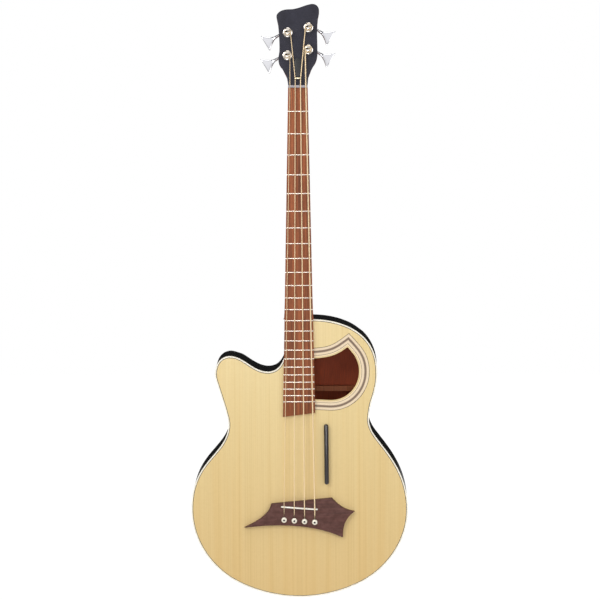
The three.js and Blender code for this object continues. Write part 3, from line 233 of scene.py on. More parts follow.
def close(material, tree, colour, rough, normal=None, others=None):
    """Ends a material with its surface shader."""
    sockets = {"Base Color": colour, "Roughness": rough, **(others or {})}
    if normal is not None:
        sockets["Normal"] = normal
    shader = add(tree, "ShaderNodeBsdfPrincipled", sockets)
    add(tree, "ShaderNodeOutputMaterial", {"Surface": shader.outputs[0]})
    return material


def mapped(tree, value, low, high, first=0.0, last=1.0):
    """The stretch from low to high of a value, drawn out to run from first to last."""
    limits = {"Value": value, "From Min": low, "From Max": high, "To Min": first, "To Max": last}
    return add(tree, "ShaderNodeMapRange", limits).outputs["Result"]


def computed(tree, operation, *values):
    """The result of a math node."""
    return add(tree, "ShaderNodeMath", dict(enumerate(values)), operation=operation).outputs[0]


def height_in(tree):
    """Height in the frame."""
    place = add(tree, "ShaderNodeTexCoord").outputs["Object"]
    return add(tree, "ShaderNodeSeparateXYZ", {0: place}).outputs["Z"]


def shade(colour, factor):
    """The colour with its light scaled."""
    return [min(1.0, c * factor) for c in colour[:3]] + [1.0]


def ramp(tree, factor, stops):
    """Colour stops over a factor."""
    node = add(tree, "ShaderNodeValToRGB", {"Fac": factor})
    while len(node.color_ramp.elements) < len(stops):
        node.color_ramp.elements.new(0.5)
    for element, (position, colour) in zip(node.color_ramp.elements, stops):
        element.position = position
        element.color = colour
    return node.outputs["Color"]


def shades(tree, factor, colour, *stops):
    """Lighter and darker shades of a colour over a factor."""
    return ramp(tree, factor, [(position, shade(colour, light)) for position, light in stops])


def grain(tree, spacing, run, mirrored=False, detail=4.0, rough=0.6):
    """Noise drawn out along the neck: spacing is a grain line's width and run its length."""
    place = add(tree, "ShaderNodeTexCoord").outputs["Object"]
    if mirrored:
        place = add(tree, "ShaderNodeVectorMath", {0: place}, operation="ABSOLUTE").outputs[0]
    scale = (1 / spacing, 1 / spacing, 1 / run)
    turned = add(tree, "ShaderNodeMapping", {"Vector": place, "Scale": scale})
    sockets = {"Vector": turned.outputs[0], "Scale": 1.0, "Detail": detail, "Roughness": rough}
    return add(tree, "ShaderNodeTexNoise", sockets).outputs["Fac"]


def bump(tree, height, strength, distance=RELIEF):
    """A normal from a height pattern."""
    sockets = {"Height": height, "Strength": strength, "Distance": distance}
    return add(tree, "ShaderNodeBump", sockets).outputs["Normal"]


def blended(tree, factor, first, second, kind="MIX"):
    """Two colours mixed."""
    node = add(tree, "ShaderNodeMix", data_type="RGBA", blend_type=kind)
    for socket, value in (("Factor", factor), ("A", first), ("B", second)):
        found = [s for s in node.inputs if s.name == socket and s.enabled]
        if isinstance(value, bpy.types.NodeSocket):
            tree.links.new(value, found[0])
        else:
            found[0].default_value = value
    return [s for s in node.outputs if s.enabled][0]


def spruce_top():
    """Sitka spruce, quartersawn and bookmatched under satin lacquer, paler towards the neck: partly the
    wood's tone, partly painted sheen there and painted shade towards the tail.

    Annual rings a millimetre or two apart are drawn as lines of 2.4 mm, so that they show."""
    material, tree = start("spruce_lacquered")
    # Partly painted light: the blend by height darkens the spruce towards the tail as painted shade and
    # lightens it towards the neck as painted sheen
    tail, waist = -1.08, -0.6
    rise = mapped(tree, height_in(tree), tail, waist)
    tone = blended(tree, rise, sizes("finish").spruce_shaded, sizes("finish").spruce)
    rings = grain(tree, 2.4 * MM, 600 * MM, mirrored=True, detail=3.0)
    broad = grain(tree, 22 * MM, 900 * MM, mirrored=True, detail=2.0)
    silk = grain(tree, 7 * MM, 4 * MM, mirrored=True, detail=3.0)
    lines = [(0.3, [0.83, 0.77, 0.66, 1]), (0.5, [0.95, 0.94, 0.92, 1]), (0.7, WHITE)]
    clouds = [(0.36, [0.97, 0.89, 0.76, 1]), (0.5, [1.0, 0.98, 0.95, 1]), (0.64, WHITE)]
    flecks = [(0.3, [0.96, 0.95, 0.93, 1]), (0.6, WHITE)]
    for share, pattern, stops in ((0.5, rings, lines), (0.35, broad, clouds), (0.5, silk, flecks)):
        tone = blended(tree, share, tone, ramp(tree, pattern, stops), "MULTIPLY")
    glaze = {"Specular IOR Level": 0.3, "Coat Weight": 0.2, "Coat Roughness": 0.14}
    return close(material, tree, tone, 0.4, bump(tree, rings, 0.08), glaze)


def bare_wood(name, colour, spacing, contrast, rough):
    """Planed wood without finish: dull, with open fibres along the neck."""
    material, tree = start(name)
    fibres = grain(tree, spacing, 120 * MM)
    wood = shades(tree, fibres, colour, (0.3, 1 - contrast), (0.7, 1 + contrast))
    return close(material, tree, wood, rough, bump(tree, fibres, 0.2))


def neck_wood():
    """Mahogany, oiled to a silky sheen: long brown pores in reddish wood."""
    material, tree = start("mahogany_oiled")
    colour = sizes("finish").mahogany
    pores = grain(tree, 0.9 * MM, 22 * MM, detail=5.0, rough=0.7)
    broad = grain(tree, 12 * MM, 300 * MM, detail=2.0)
    base = shades(tree, broad, colour, (0.3, 0.75), (0.7, 1.15))
    mask = shades(tree, pores, WHITE, (0.56, 0), (0.7, 1))
    wood = blended(tree, mask, base, shade(colour, 0.45))
    return close(material, tree, wood, 0.42, bump(tree, pores, 0.15))


def fingerboard_wood():
    """Dense reddish hardwood, oiled: fine dark pores and streaks along the board."""
    material, tree = start("fingerboard_hardwood_oiled")
    colour = sizes("finish").board
    streaks = grain(tree, 3.5 * MM, 160 * MM, detail=3.0)
    pores = grain(tree, 0.8 * MM, 14 * MM, detail=5.0, rough=0.75)
    broad = grain(tree, 11 * MM, 500 * MM, detail=1.0)
    base = shades(tree, streaks, colour, (0.32, 0.5), (0.5, 1), (0.68, 1.45))
    tint = ramp(tree, broad, [(0.35, [0.84, 0.74, 0.66, 1]), (0.65, [1.16, 1.12, 1.12, 1])])
    base = blended(tree, 1.0, base, tint, "MULTIPLY")
    end, body = -0.6, -0.35
    shadow = mapped(tree, height_in(tree), end, body, 0.78, 1.0)
    base = blended(tree, 1.0, base, shadow, "MULTIPLY")
    mask = shades(tree, pores, WHITE, (0.5, 0), (0.68, 0.8))
    wood = blended(tree, mask, base, shade(colour, 0.42))
    return close(material, tree, wood, 0.5, bump(tree, pores, 0.2), {"Specular IOR Level": 0.35})


def bridge_wood():
    """Rosewood, oiled: dark purplish brown, mottled, with fine streaks across the body."""
    material, tree = start("rosewood_oiled")
    colour = sizes("finish").bridge
    streaks = grain(tree, 60 * MM, 1.8 * MM)
    wood = shades(tree, streaks, colour, (0.3, 0.76), (0.5, 1), (0.72, 1.2))
    cloud = grain(tree, 11 * MM, 7 * MM, detail=3.0)
    tint = ramp(tree, cloud, [(0.36, [0.8, 0.74, 0.72, 1]), (0.64, [1.2, 1.24, 1.36, 1])])
    wood = blended(tree, 1.0, wood, tint, "MULTIPLY")
    return close(material, tree, wood, 0.5, bump(tree, streaks, 0.15), {"Specular IOR Level": 0.3})


def lacquer():
    """Polyester lacquer, polished: black, with a deep mirror shine."""
    material, tree = start("lacquer_black_polished")
    ripple = grain(tree, 60 * MM, 60 * MM, detail=1.0)
    return close(material, tree, sizes("finish").lacquer, 0.17, bump(tree, ripple, 0.04, 2 * RELIEF))


def satin_black():
    """Open-pored veneer sprayed satin black."""
    material, tree = start("veneer_satin_black")
    colour = sizes("finish").satin
    pores = grain(tree, 0.8 * MM, 12 * MM)
    cloud = grain(tree, 18 * MM, 30 * MM, detail=2.0)
    tone = shades(tree, cloud, colour, (0.3, 0.85), (0.7, 1.25))
    return close(material, tree, tone, 0.46, bump(tree, pores, 0.12), {"Specular IOR Level": 0.25})


def plastic(name, colour, rough, coat=0.0):
    """Moulded or cast plastic, rubbed smooth, with a faint cloudiness."""
    material, tree = start(name)
    cloud = grain(tree, 7 * MM, 20 * MM, detail=3.0)
    fine = grain(tree, 0.7 * MM, 0.7 * MM, detail=2.0)
    tone = shades(tree, cloud, colour, (0.3, 0.95), (0.7, 1.03))
    return close(material, tree, tone, rough, bump(tree, fine, 0.05, RELIEF / 2), {"Coat Weight": coat})


def metal(name, colour, rough, spacing=3 * MM):
    """Plated or drawn metal: polished, with faint waves left by the buffing wheel."""
    material, tree = start(name)
    waves = grain(tree, spacing, spacing, detail=2.0)
    return close(material, tree, colour, rough, bump(tree, waves, 0.06), {"Metallic": 1.0})


def string_bronze():
    """Bronze wire wound round a steel core.

    Windings of 0.3 mm are drawn 0.7 mm apart, so that they show close up."""
    material, tree = start("bronze_wound")
    place = add(tree, "ShaderNodeTexCoord").outputs["Object"]
    sockets = {"Vector": place, "Scale": 0.314 / (0.7 * MM), "Distortion": 0.4}
    wave = add(tree, "ShaderNodeTexWave", sockets, bands_direction="Z").outputs["Fac"]
    tone = shades(tree, wave, sizes("finish").bronze, (0.0, 0.86), (0.6, 1))
    return close(material, tree, tone, 0.4, bump(tree, wave, 0.3), {"Metallic": 0.2})


def rosette_band(name, code):
    """Veneer strips laid side by side round the hole, under the top's lacquer."""
    material, tree = start(name)
    strips = grain(tree, 1.6 * MM, 1.6 * MM, detail=2.0)
    tone = shades(tree, strips, linear(code), (0.3, 0.94), (0.7, 1.05))
    return close(material, tree, tone, 0.4, None, {"Coat Weight": 0.35})


# Modelling helpers


def deselect():
    """Object mode with nothing selected."""
    if bpy.context.mode != "OBJECT":
        bpy.ops.object.mode_set(mode="OBJECT")
    bpy.ops.object.select_all(action="DESELECT")


def pick(*pieces):
    """Selects only these pieces, the last one active."""
    deselect()
    for piece in pieces:
        piece.select_set(True)
    bpy.context.view_layer.objects.active = pieces[-1]


def edit(piece):
    """Edit mode on this piece alone, with everything in it selected."""
    pick(piece)
    bpy.ops.object.mode_set(mode="EDIT")
    bpy.ops.mesh.select_mode(type="FACE")
    bpy.ops.mesh.select_all(action="SELECT")


def done():
    """Back to object mode."""
    bpy.ops.object.mode_set(mode="OBJECT")


def clear(piece, kind):
    """Leaves nothing in the piece selected, in the mode for its edges or its faces."""
    edit(piece)
    bpy.ops.mesh.select_mode(type=kind)
    bpy.ops.mesh.select_all(action="DESELECT")
    done()


def finish_modifiers(piece):
    """Applies the piece's modifiers in order."""
    pick(piece)
    for modifier in list(piece.modifiers):
        bpy.ops.object.modifier_apply(modifier=modifier.name)


def smooth(piece, degrees):
    """Smooth shading except across sharp edges."""
    pick(piece)
    bpy.ops.object.shade_smooth_by_angle(angle=math.radians(degrees))


def bevel(piece, width, segments, degrees):
    """Rounds the piece's sharp edges."""
    modifier = piece.modifiers.new("edge", "BEVEL")
    modifier.width = width
    modifier.segments = segments
    modifier.limit_method = "ANGLE"
    modifier.angle_limit = math.radians(degrees)
    modifier.use_clamp_overlap = True
    finish_modifiers(piece)


def link(name, data):
    """A new object in the scene."""
    piece = bpy.data.objects.new(name, data)
    bpy.context.scene.collection.objects.link(piece)
    return piece


def node_copy(node, name, planar=True):
    """A merged copy of a CAD node, its flat faces joined up."""
    mesh = frame["nodes"][node].data.copy()
    mesh.materials.clear()
    piece = link(name, mesh)
    edit(piece)
    bpy.ops.mesh.customdata_custom_splitnormals_clear()
    bpy.ops.mesh.remove_doubles(threshold=MERGE)
    if planar:
        bpy.ops.mesh.dissolve_limited(angle_limit=FLAT)
    done()
    return piece


def tangent(before, at, after):
    """Direction of the smooth line through three places, or None at a corner."""
    first, second = at - before, after - at
    if first.angle(second, 0) > CORNER:
        return None
    ahead = first.normalized() * second.length + second.normalized() * first.length
    return ahead.normalized()


def bulge(ways, a, b):
    """How far the middle of a plan line from a to b moves out to lie on a smooth line."""
    run = Vector(b) - Vector(a)
    headings = []
    for here, there, turn in ((a, b, 1), (b, a, -1)):
        others = [spot for spot in ways[here] if spot != there]
        heading = None
        if len(others) == 1:
            heading = tangent(Vector(others[0]), Vector(here), Vector(there))
        headings.append(turn * heading if heading else run.normalized())
    return (headings[0] - headings[1]) * run.length / 8


def plan(place):
    """A place seen from the front, to a hundredth of a millimetre."""
    return round(place.x, 5), round(place.z, 5)


def rounded(piece, times=2, lay=None, above=-math.inf):
    """Gives the walls of a flat piece more facets, on a smooth line through those it has.

    Lines between bands of different material are rounded with them. The piece lies flat in lay,
    or across Y, and only what is above a height there changes."""
    lay = lay or Matrix()
    back = lay.inverted()
    for _ in range(times):
        places = [back @ v.co for v in piece.data.vertices]
        keys = [plan(place) for place in places]
        ways, bands, lines = {}, {}, set()
        for face in piece.data.polygons:
            is_wall = abs((back.to_3x3() @ face.normal).y) < 0.3
            for wire in face.edge_keys:
                bands.setdefault(wire, set()).add(face.material_index)
                if is_wall or len(bands[wire]) > 1:
                    lines.add(wire)
        for a, b in lines:
            if keys[a] != keys[b] and min(keys[a][1], keys[b][1]) > above:
                ways.setdefault(keys[a], set()).add(keys[b])
                ways.setdefault(keys[b], set()).add(keys[a])
        clear(piece, "EDGE")
        moves = {}
        for wire in piece.data.edges:
            i, k = wire.vertices
            wire.select = keys[k] in ways.get(keys[i], ())
            if wire.select:
                moves[plan((places[i] + places[k]) / 2)] = bulge(ways, keys[i], keys[k])
        bpy.ops.object.mode_set(mode="EDIT")
        bpy.ops.mesh.subdivide(number_cuts=1)
        done()
        for vertex in piece.data.vertices:
            place = back @ vertex.co
            move = moves.get(plan(place))
            if move:
                vertex.co = lay @ (place + Vector((move.x, 0, move.y)))


def choose(piece, test):
    """Selects only the faces that pass the test."""
    clear(piece, "FACE")
    for face in piece.data.polygons:
        face.select = test(face)


def choose_front(piece):
    """Selects the faces in the front of a flat piece, and gives their depth."""
    front = min(v.co.y for v in piece.data.vertices)
    choose(piece, lambda f: f.normal.y < -0.99 and f.center.y < front + MERGE)
    return front


def inset(width):
    """Parts the selected faces from a rim of this width round them."""
    bpy.ops.object.mode_set(mode="EDIT")
    bpy.ops.mesh.inset(thickness=width, use_boundary=True)
    done()


def sort_faces(piece, choice):
    """Puts each face in the material slot that the choice numbers."""
    for face in piece.data.polygons:
        face.material_index = int(choice(face))


def give(piece, *materials):
    """Fills the piece's material slots in order."""
    for material in materials:
        piece.data.materials.append(material)


def seat(piece, body, slot, *nodes):
    """Lets the piece ride on its body, and hides the nodes it stands for; slot, the row's material slot,
    is not used.
    """
    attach(piece, body)
    if nodes:
        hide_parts(*nodes)


def dress(node, name, slot, material, width, segments, sharp, soft, rounding=None):
    """Seats a copy of a CAD node in one material, with rounded edges.

    Its walls are rounded too where rounding holds what rounded is told."""
    piece = node_copy(node, name)
    if rounding:
        rounded(piece, *rounding)
    bevel(piece, width, segments, sharp)
    smooth(piece, soft)
    give(piece, material)
    seat(piece, GUITAR, slot, node)


def settle(piece, matrix):
    """Puts the piece in its place, with the place in its mesh."""
    pick(piece)
    piece.matrix_world = matrix
    bpy.ops.object.transform_apply(location=True, rotation=True, scale=True)


def outwards(piece):
    """Merges doubles and turns all faces outwards."""
    edit(piece)
    bpy.ops.mesh.remove_doubles(threshold=MERGE / 4)
    bpy.ops.mesh.normals_make_consistent(inside=False)
    done()


def from_axis(face):
    """How far the middle of a turned piece's face lies from its axis."""
    return math.hypot(face.center.x, face.center.z)


def spots(radius, depth, *offsets):
    """Points of a profile, given in millimetres from a radius and a depth."""
    return [(radius + out * MM, depth + down * MM) for out, down in offsets]


def turned(name, profile, steps=48):
    """A turned piece about the Y axis from the (radius, depth) points of its profile."""
    mesh = bpy.data.meshes.new(name)
    points = [(radius, depth, 0) for radius, depth in profile]
    edges = [(i, i + 1) for i in range(len(points) - 1)]
    mesh.from_pydata(points, edges, [])
    piece = link(name, mesh)
    modifier = piece.modifiers.new("turn", "SCREW")
    modifier.axis = "Y"
    modifier.steps = steps
    modifier.render_steps = steps
    modifier.use_normal_flip = True
    finish_modifiers(piece)
    outwards(piece)
    return piece


def tube(name, paths, radius):
    """Round tubes along lines of points, as one mesh with closed ends."""
    curve = bpy.data.curves.new(name, "CURVE")
    curve.dimensions = "3D"
    curve.bevel_depth = radius
    curve.bevel_resolution = 3
    curve.use_fill_caps = True
    for path in paths:
        spline = curve.splines.new("POLY")
        spline.points.add(len(path) - 1)
        for point, place in zip(spline.points, path):
            point.co = (*place, 1)
    piece = link(name, curve)
    pick(piece)
    bpy.ops.object.convert(target="MESH")
    outwards(piece)
    return piece


def loft(name, rings):
    """A skin over rings of equally many points, with closed ends."""
    size = len(rings[0])
    faces = [range(size), range((len(rings) - 1) * size, len(rings) * size)]
    for low in range(0, (len(rings) - 1) * size, size):
        for k in range(size):
            after = (k + 1) % size
            faces.append((low + k, low + after, low + size + after, low + size + k))
    mesh = bpy.data.meshes.new(name)
    mesh.from_pydata([point for ring in rings for point in ring], [], faces)
    piece = link(name, mesh)
    outwards(piece)
    return piece


def boolean(piece, cutter, operation):
    """Cuts or joins another mesh, which is used up."""
    modifier = piece.modifiers.new("shape", "BOOLEAN")
    modifier.operation = operation
    modifier.object = cutter
    modifier.solver = "EXACT"
    finish_modifiers(piece)
    bpy.data.objects.remove(cutter)


def block(name, low, high):
    """A box between two corners, used as a cutter or as a blank."""
    centre = (Vector(low) + Vector(high)) / 2
    deselect()
    bpy.ops.mesh.primitive_cube_add(size=1, location=centre)
    piece = bpy.context.object
    piece.name = name
    piece.scale = Vector(high) - Vector(low)
    bpy.ops.object.transform_apply(location=True, rotation=True, scale=True)
    return piece


def outline(node):
    """The outer outline of a node's front as (x, z) points."""
    mesh = bmesh.new()
    mesh.from_mesh(frame["nodes"][node].data)
    bmesh.ops.remove_doubles(mesh, verts=mesh.verts, dist=MERGE)
    front = min(v.co.y for v in mesh.verts)
    fronts = {f for f in mesh.faces if f.calc_center_median().y < front + MERGE}
    rims = [e for e in mesh.edges if sum(f in fronts for f in e.link_faces) == 1]
    follow = {}
    for edge in rims:
        for vertex in edge.verts:
            follow.setdefault(vertex, []).append(edge.other_vert(vertex))
    first = max(follow, key=lambda v: v.co.x)
    loop = [first, follow[first][0]]
    while loop[-1] is not first:
        ahead = follow[loop[-1]]
        loop.append(ahead[0] if ahead[1] is loop[-2] else ahead[1])
    line = [(v.co.x, v.co.z) for v in loop[:-1]]
    mesh.free()
    return line


def is_inside(line, x, z):
    """Whether a place lies within a closed line."""
    crossings = 0
    for (x1, z1), (x2, z2) in zip(line, line[1:] + line[:1]):
        if (z1 > z) != (z2 > z) and x < x1 + (x2 - x1) * (z - z1) / (z2 - z1):
            crossings += 1
    return crossings % 2 == 1


def nearest(line, x, z):
    """The way from a place to the nearest point of a closed line."""
    place = Vector((x, z))
    least = Vector((1, 1))
    for a, b in zip(line, line[1:] + line[:1]):
        start_at, run = Vector(a), Vector(b) - Vector(a)
        share = max(0.0, min(1.0, (place - start_at).dot(run) / run.length_squared))
        least = min(least, start_at + run * share - place, key=lambda way: way.length)
    return least


# Body


# How far from the outline the lacquered face begins
RIM = 6 * MM


class BASS_OT_soundboard(bpy.types.Operator):
    """Spruce soundboard with a dark line let in along its edge"""

    bl_idname = "bass.soundboard"
    bl_label = "Soundboard"

    def execute(self, context):
        line, ring = outline("top_binding"), outline("rosette")
        piece = node_copy("top", "soundboard")
        rounded(piece)
        dark = plastic("purfling_dyed", linear("#3c342b"), 0.45)
        bare = bare_wood("spruce_bare", sizes("finish").bare, 2.0 * MM, 0.15, 0.75)
        cream = plastic("binding_celluloid", sizes("finish").cream, 0.32, 0.3)
        give(piece, spruce_top(), dark, bare, cream)
        choose_front(piece)
        sort_faces(piece, lambda f: 1 if f.select else 2)
        inset(sizes("body").purfling)
        for face in piece.data.polygons:
            x, _, z = face.center
            is_ring = face.material_index == 1 and not face.select
            if is_inside(ring, x, z):
                face.material_index = 3 if face.select or is_ring else 2
            elif face.select or (is_ring and nearest(line, x, z).length > RIM):
                face.material_index = 0
        seat(piece, GUITAR, "spruce_top", "top")
        return {"FINISHED"}


class BASS_OT_shell(bpy.types.Operator):
    """Bent sides, arched back and both bindings"""

    bl_idname = "bass.shell"
    bl_label = "Sides, back and bindings"

    def execute(self, context):
        line = outline("top_binding")
        gloss = lacquer()
        inside = bare_wood("mahogany_bare", sizes("finish").inside, 1.4 * MM, 0.22, 0.7)
        edge = sizes("body").edge
        for node in ("side_bass", "side_treble"):
            piece = node_copy(node, node.replace("side", "bent_side"))
            give(piece, gloss, inside)
            sort_faces(piece, lambda f: self.is_lining(f, line, edge))
            rounded(piece)
            smooth(piece, 30)
            seat(piece, GUITAR, "black_lacquer", node)
        back = node_copy("back", "arched_back")
        rounded(back)
        give(back, gloss, inside)
        sort_faces(back, lambda f: f.normal.y < 0)
        smooth(back, 30)
        seat(back, GUITAR, "black_lacquer", "back")
        cream = bpy.data.materials["binding_celluloid"]
        for node, material, slot, width in (
            ("top_binding", cream, "cream_plastic", edge),
            ("back_binding", gloss, "black_lacquer", 2 * edge),
        ):
            name = node.replace("binding", "edge_binding")
            dress(node, name, slot, material, width, 2, 60, 30, (2,))
        return {"FINISHED"}

    def is_lining(self, face, line, step):
        """Whether a wall's face looks at the inside of the body."""
        x, _, z = face.center + face.normal * step
        return abs(face.normal.y) < 0.9 and is_inside(line, x, z)


class BASS_OT_rosette(bpy.types.Operator):
    """Ring of veneer bands round the soundhole"""

    bl_idname = "bass.rosette"
    bl_label = "Rosette"

    def execute(self, context):
        body = sizes("body")
        piece = node_copy("rosette", "rosette_bands")
        for name, code in (
            ("veneer_middle", "#7a644f"),
            ("veneer_line", "#7f6a52"),
            ("veneer_light", "#ead4b3"),
            ("veneer_brown", "#ab9279"),
            ("veneer_lip", "#f4dcb4"),
        ):
            give(piece, rosette_band(name, code))
        line = outline("rosette")
        front = choose_front(piece)
        outer = (body.line, body.light, body.core)
        steps = set(accumulate(outer)) | set(accumulate((body.lip, *outer)))
        last = 0
        # Each ring's number holds its step and its band, so that rounding sees both
        spread = 8
        for count, step in enumerate(sorted(steps), 1):
            inset(step - last)
            for face in piece.data.polygons:
                if face.select:
                    face.material_index = spread * count
            last = step
        low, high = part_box("rosette")
        hole = Vector((low.x + high.x, low.z + high.z)) / 2
        outside = list(zip(accumulate(outer), (1, 2, 3)))
        inside = list(zip(accumulate((body.lip, *outer)), (4, 1, 2, 3)))
        for face in piece.data.polygons:
            x, y, z = face.center
            if face.select or face.normal.y > -0.99 or y > front + MERGE:
                continue
            way = nearest(line, x, z)
            is_inner = way.dot(hole - Vector((x, z))) > 0
            found = [i for limit, i in (inside if is_inner else outside) if way.length < limit]
            face.material_index += (found + [0])[0]
        rounded(piece)
        sort_faces(piece, lambda f: f.material_index % spread)
        seat(piece, GUITAR, "rosette_wood", "rosette")
        return {"FINISHED"}


class BASS_OT_bracing(bpy.types.Operator):
    """Bare woods for the bracing, blocks and linings inside the body"""

    bl_idname = "bass.bracing"
    bl_label = "Bracing"

    def execute(self, context):
        spruce = bpy.data.materials["spruce_bare"]
        mahogany = bpy.data.materials["mahogany_bare"]
        rosewood = bare_wood("rosewood_bare", sizes("finish").bridge, 1.2 * MM, 0.2, 0.6)
        steel = metal("steel_drawn", linear("#8f9094"), 0.4)
        woods = dict(spruce_brace=spruce, mahogany=mahogany, bridge_wood=rosewood, steel=steel)
        reddish = bare_wood("mahogany_planed", sizes("finish").brace, 1.6 * MM, 0.18, 0.65)
        slots = {s["node"]: s["material_slot"] for s in frame["record"]["subparts"]}
        for name, node in frame["nodes"].items():
            if slots[name] in woods and name not in ("neck", "bridge"):
                across = name.startswith("back_brace")
                for slot in node.material_slots:
                    slot.material = reddish if across else woods[slots[name]]
        return {"FINISHED"}


# The part of the bridge's front that holds saddle and pins: its middle height and half sizes
HOLDER_Z = -0.89
HOLDER_HALF_WIDTH = 0.045
HOLDER_HALF_HEIGHT = 0.033
# The middles of the bridge's outer wall faces lie less than this behind its front
WALL_DEPTH = 0.0065


class BASS_OT_bridge(bpy.types.Operator):
    """Bridge with its saddle and four pins"""

    bl_idname = "bass.bridge"
    bl_label = "Bridge"

    def execute(self, context):
        piece = node_copy("bridge", "bridge_block")
        rounded(piece, 1)
        front = min(v.co.y for v in piece.data.vertices)
        choose(piece, lambda f: abs(f.normal.y) < 0.2)
        low = {v.index for v in piece.data.vertices if v.co.y < front + MERGE}
        rims = set()
        for face in piece.data.polygons:
            on_rim = face.select and abs(face.center.y - front) < WALL_DEPTH
            x, _, z = face.center
            outer = abs(x) > HOLDER_HALF_WIDTH or abs(z - HOLDER_Z) > HOLDER_HALF_HEIGHT
            if on_rim and outer:
                rims.update(tuple(sorted(k)) for k in face.edge_keys if set(k) <= low)
        clear(piece, "EDGE")
        for wire in piece.data.edges:
            wire.select = tuple(sorted(wire.vertices)) in rims
        bpy.ops.object.mode_set(mode="EDIT")
        bpy.ops.mesh.bevel(offset=sizes("body").bridge, segments=4, clamp_overlap=True)
        done()
        give(piece, bridge_wood())
        smooth(piece, 30)
        seat(piece, GUITAR, "bridge_wood", "bridge")
        bone = plastic("bone_polished", sizes("finish").bone, 0.3, 0.2)
        dress("saddle", "saddle_blade", "bone", bone, 0.5 * MM, 3, 50, 30)
        self.make_pins()
        return {"FINISHED"}

    def make_pins(self):
        """Turned pins with domed heads and a dark dot."""
        cream = plastic("pin_plastic", sizes("finish").cream, 0.3, 0.3)
        dot = plastic("pin_dot", linear("#1a1614"), 0.3, 0.2)
        for n in range(1, 5):
            low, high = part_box(f"bridge_pin_{n}")
            centre = Vector(((low.x + high.x) / 2, low.y, (low.z + high.z) / 2))
            reach = high.y - low.y
            profile = spots(0, 0, (0, 0), (2.2, 0.02), (2.25, 0), (3.0, 0.25), (4.2, 0.9), (5.3, 2.0))
            profile += spots(0, 0, (5.7, 3.2), (5.6, 4.4), (5.0, 5.0), (2.9, 5.0))
            profile += [(2.5 * MM, reach), (0, reach)]
            piece = turned(f"pin_{n}", profile)
            give(piece, cream, dot)
            sort_faces(piece, lambda f: from_axis(f) < 2.2 * MM and f.center.y < MM)
            settle(piece, Matrix.Translation(centre))
            smooth(piece, 40)
            seat(piece, GUITAR, "cream_plastic", f"bridge_pin_{n}")


class BASS_OT_thumb_rest(bpy.types.Operator):
    """Rounded bar beside the lowest string"""

    bl_idname = "bass.thumb_rest"
    bl_label = "Thumb rest"

    def execute(self, context):
        black = plastic("abs_black", linear("#292427"), 0.3, 1.0)
        width = sizes("body").rest
        dress("thumb_rest", "thumb_bar", "black_plastic", black, width, 5, 60, 40)
        return {"FINISHED"}


# Neck


def at(x, y, z):
    """A place given from the nut's end and the top's front, in the frame."""
    return Vector((x, y, z)) + ZERO


def fret_height(n):
    """How far a fret lies below the nut's end."""
    return -sizes("neck").scale * (1 - 2 ** (-n / 12))


def half_width(z):
    """Half the fingerboard's width at a height."""
    neck = sizes("neck")
    last = fret_height(neck.frets)
    return neck.nut + (neck.last - neck.nut) * z / last


def camber(x):
    """How far the fingerboard's front falls away at a distance from its middle."""
    return x * x / (2 * sizes("neck").camber)


class BASS_OT_neck(bpy.types.Operator):
    """Neck, headstock face, nut, rod cover and string retainer"""

    bl_idname = "bass.neck"
    bl_label = "Neck and headstock"

    def execute(self, context):
        black = satin_black()
        on_headstock = (2, head_matrix(), 12 * MM)
        piece = node_copy("neck", "neck_wood", planar=False)
        rounded(piece, *on_headstock)
        give(piece, neck_wood(), black)
        smooth(piece, 32)
        seat(piece, GUITAR, "mahogany", "neck")
        nut = plastic("nut_composite", sizes("finish").nut, 0.4)
        cover = plastic("abs_black_satin", linear("#1b1b1e"), 0.35, 0.1)
        gold = metal("gold_plated", sizes("finish").gold, 0.2)
        edge = sizes("neck").edge
        for node, name, slot, *looks in (
            ("headstock_overlay", "headstock_face", "black_satin", black, edge, 3, 60, 35, on_headstock),
            ("nut", "nut_block", "nut_plastic", nut, 0.3 * MM, 2, 50, 30),
            ("truss_rod_cover", "rod_cover", "black_plastic", cover, 0.5 * MM, 3, 50, 35),
            ("string_retainer", "retainer_bar", "gold", gold, 0.5 * MM, 2, 60, 60),
        ):
            dress(node, name, slot, *looks)
        return {"FINISHED"}


class BASS_OT_fingerboard(bpy.types.Operator):
    """Cambered fingerboard with its frets"""

    bl_idname = "bass.fingerboard"
    bl_label = "Fingerboard"

    def execute(self, context):
        neck = sizes("neck")
        end = fret_height(neck.frets) - neck.tongue
        piece = block("board", (-1, 0, -1), (1, 1, 0))
        edit(piece)
        bpy.ops.mesh.subdivide(number_cuts=11)
        done()
        for vertex in piece.data.vertices:
            x, y, z = vertex.co
            height = -z * end
            wide = half_width(height)
            front = -SEAM - neck.thick + camber(x * wide)
            drop = -z * x * wide * math.tan(neck.slant)
            vertex.co = at(x * wide, -SEAM + (front + SEAM) * (1 - y), height + drop)
        outwards(piece)
        bevel(piece, 0.5 * MM, 2, 50)
        smooth(piece, 30)
        give(piece, fingerboard_wood())
        seat(piece, GUITAR, "fingerboard_wood", "fingerboard")
        paths = []
        for n in range(1, neck.frets + 1):
            height = fret_height(n)
            wide = half_width(height) - 0.1 * MM
            line = [wide * k / 6 for k in range(-6, 7)]
            paths.append([at(x, -SEAM - neck.thick + camber(x), height) for x in line])
        frets = tube("fret_wires", paths, neck.fret)
        smooth(frets, 50)
        give(frets, metal("nickel_silver", sizes("finish").fret, 0.22))
        seat(frets, GUITAR, "steel")
        return {"FINISHED"}


# Machine heads


# Post centres on the headstock: across and up from its foot, and the side of the key
POSTS = (
    (-0.021613, 0.060756, -1),
    (-0.020832, 0.107734, -1),
    (0.021613, 0.11786, 1),
    (0.021266, 0.072542, 1),
)
# How far above the nut's end the headstock's face starts
HEAD_FOOT = 5 * MM
# Where a housing's screw ear lies along the key's shaft
EAR = -10.5 * MM


def head_matrix():
    """The tilted headstock's own frame: up along its face, Y into its wood."""
    tilt = Matrix.Rotation(-sizes("head").tilt, 4, "X")
    return Matrix.Translation(ZERO + Vector((0, 0, HEAD_FOOT))) @ tilt


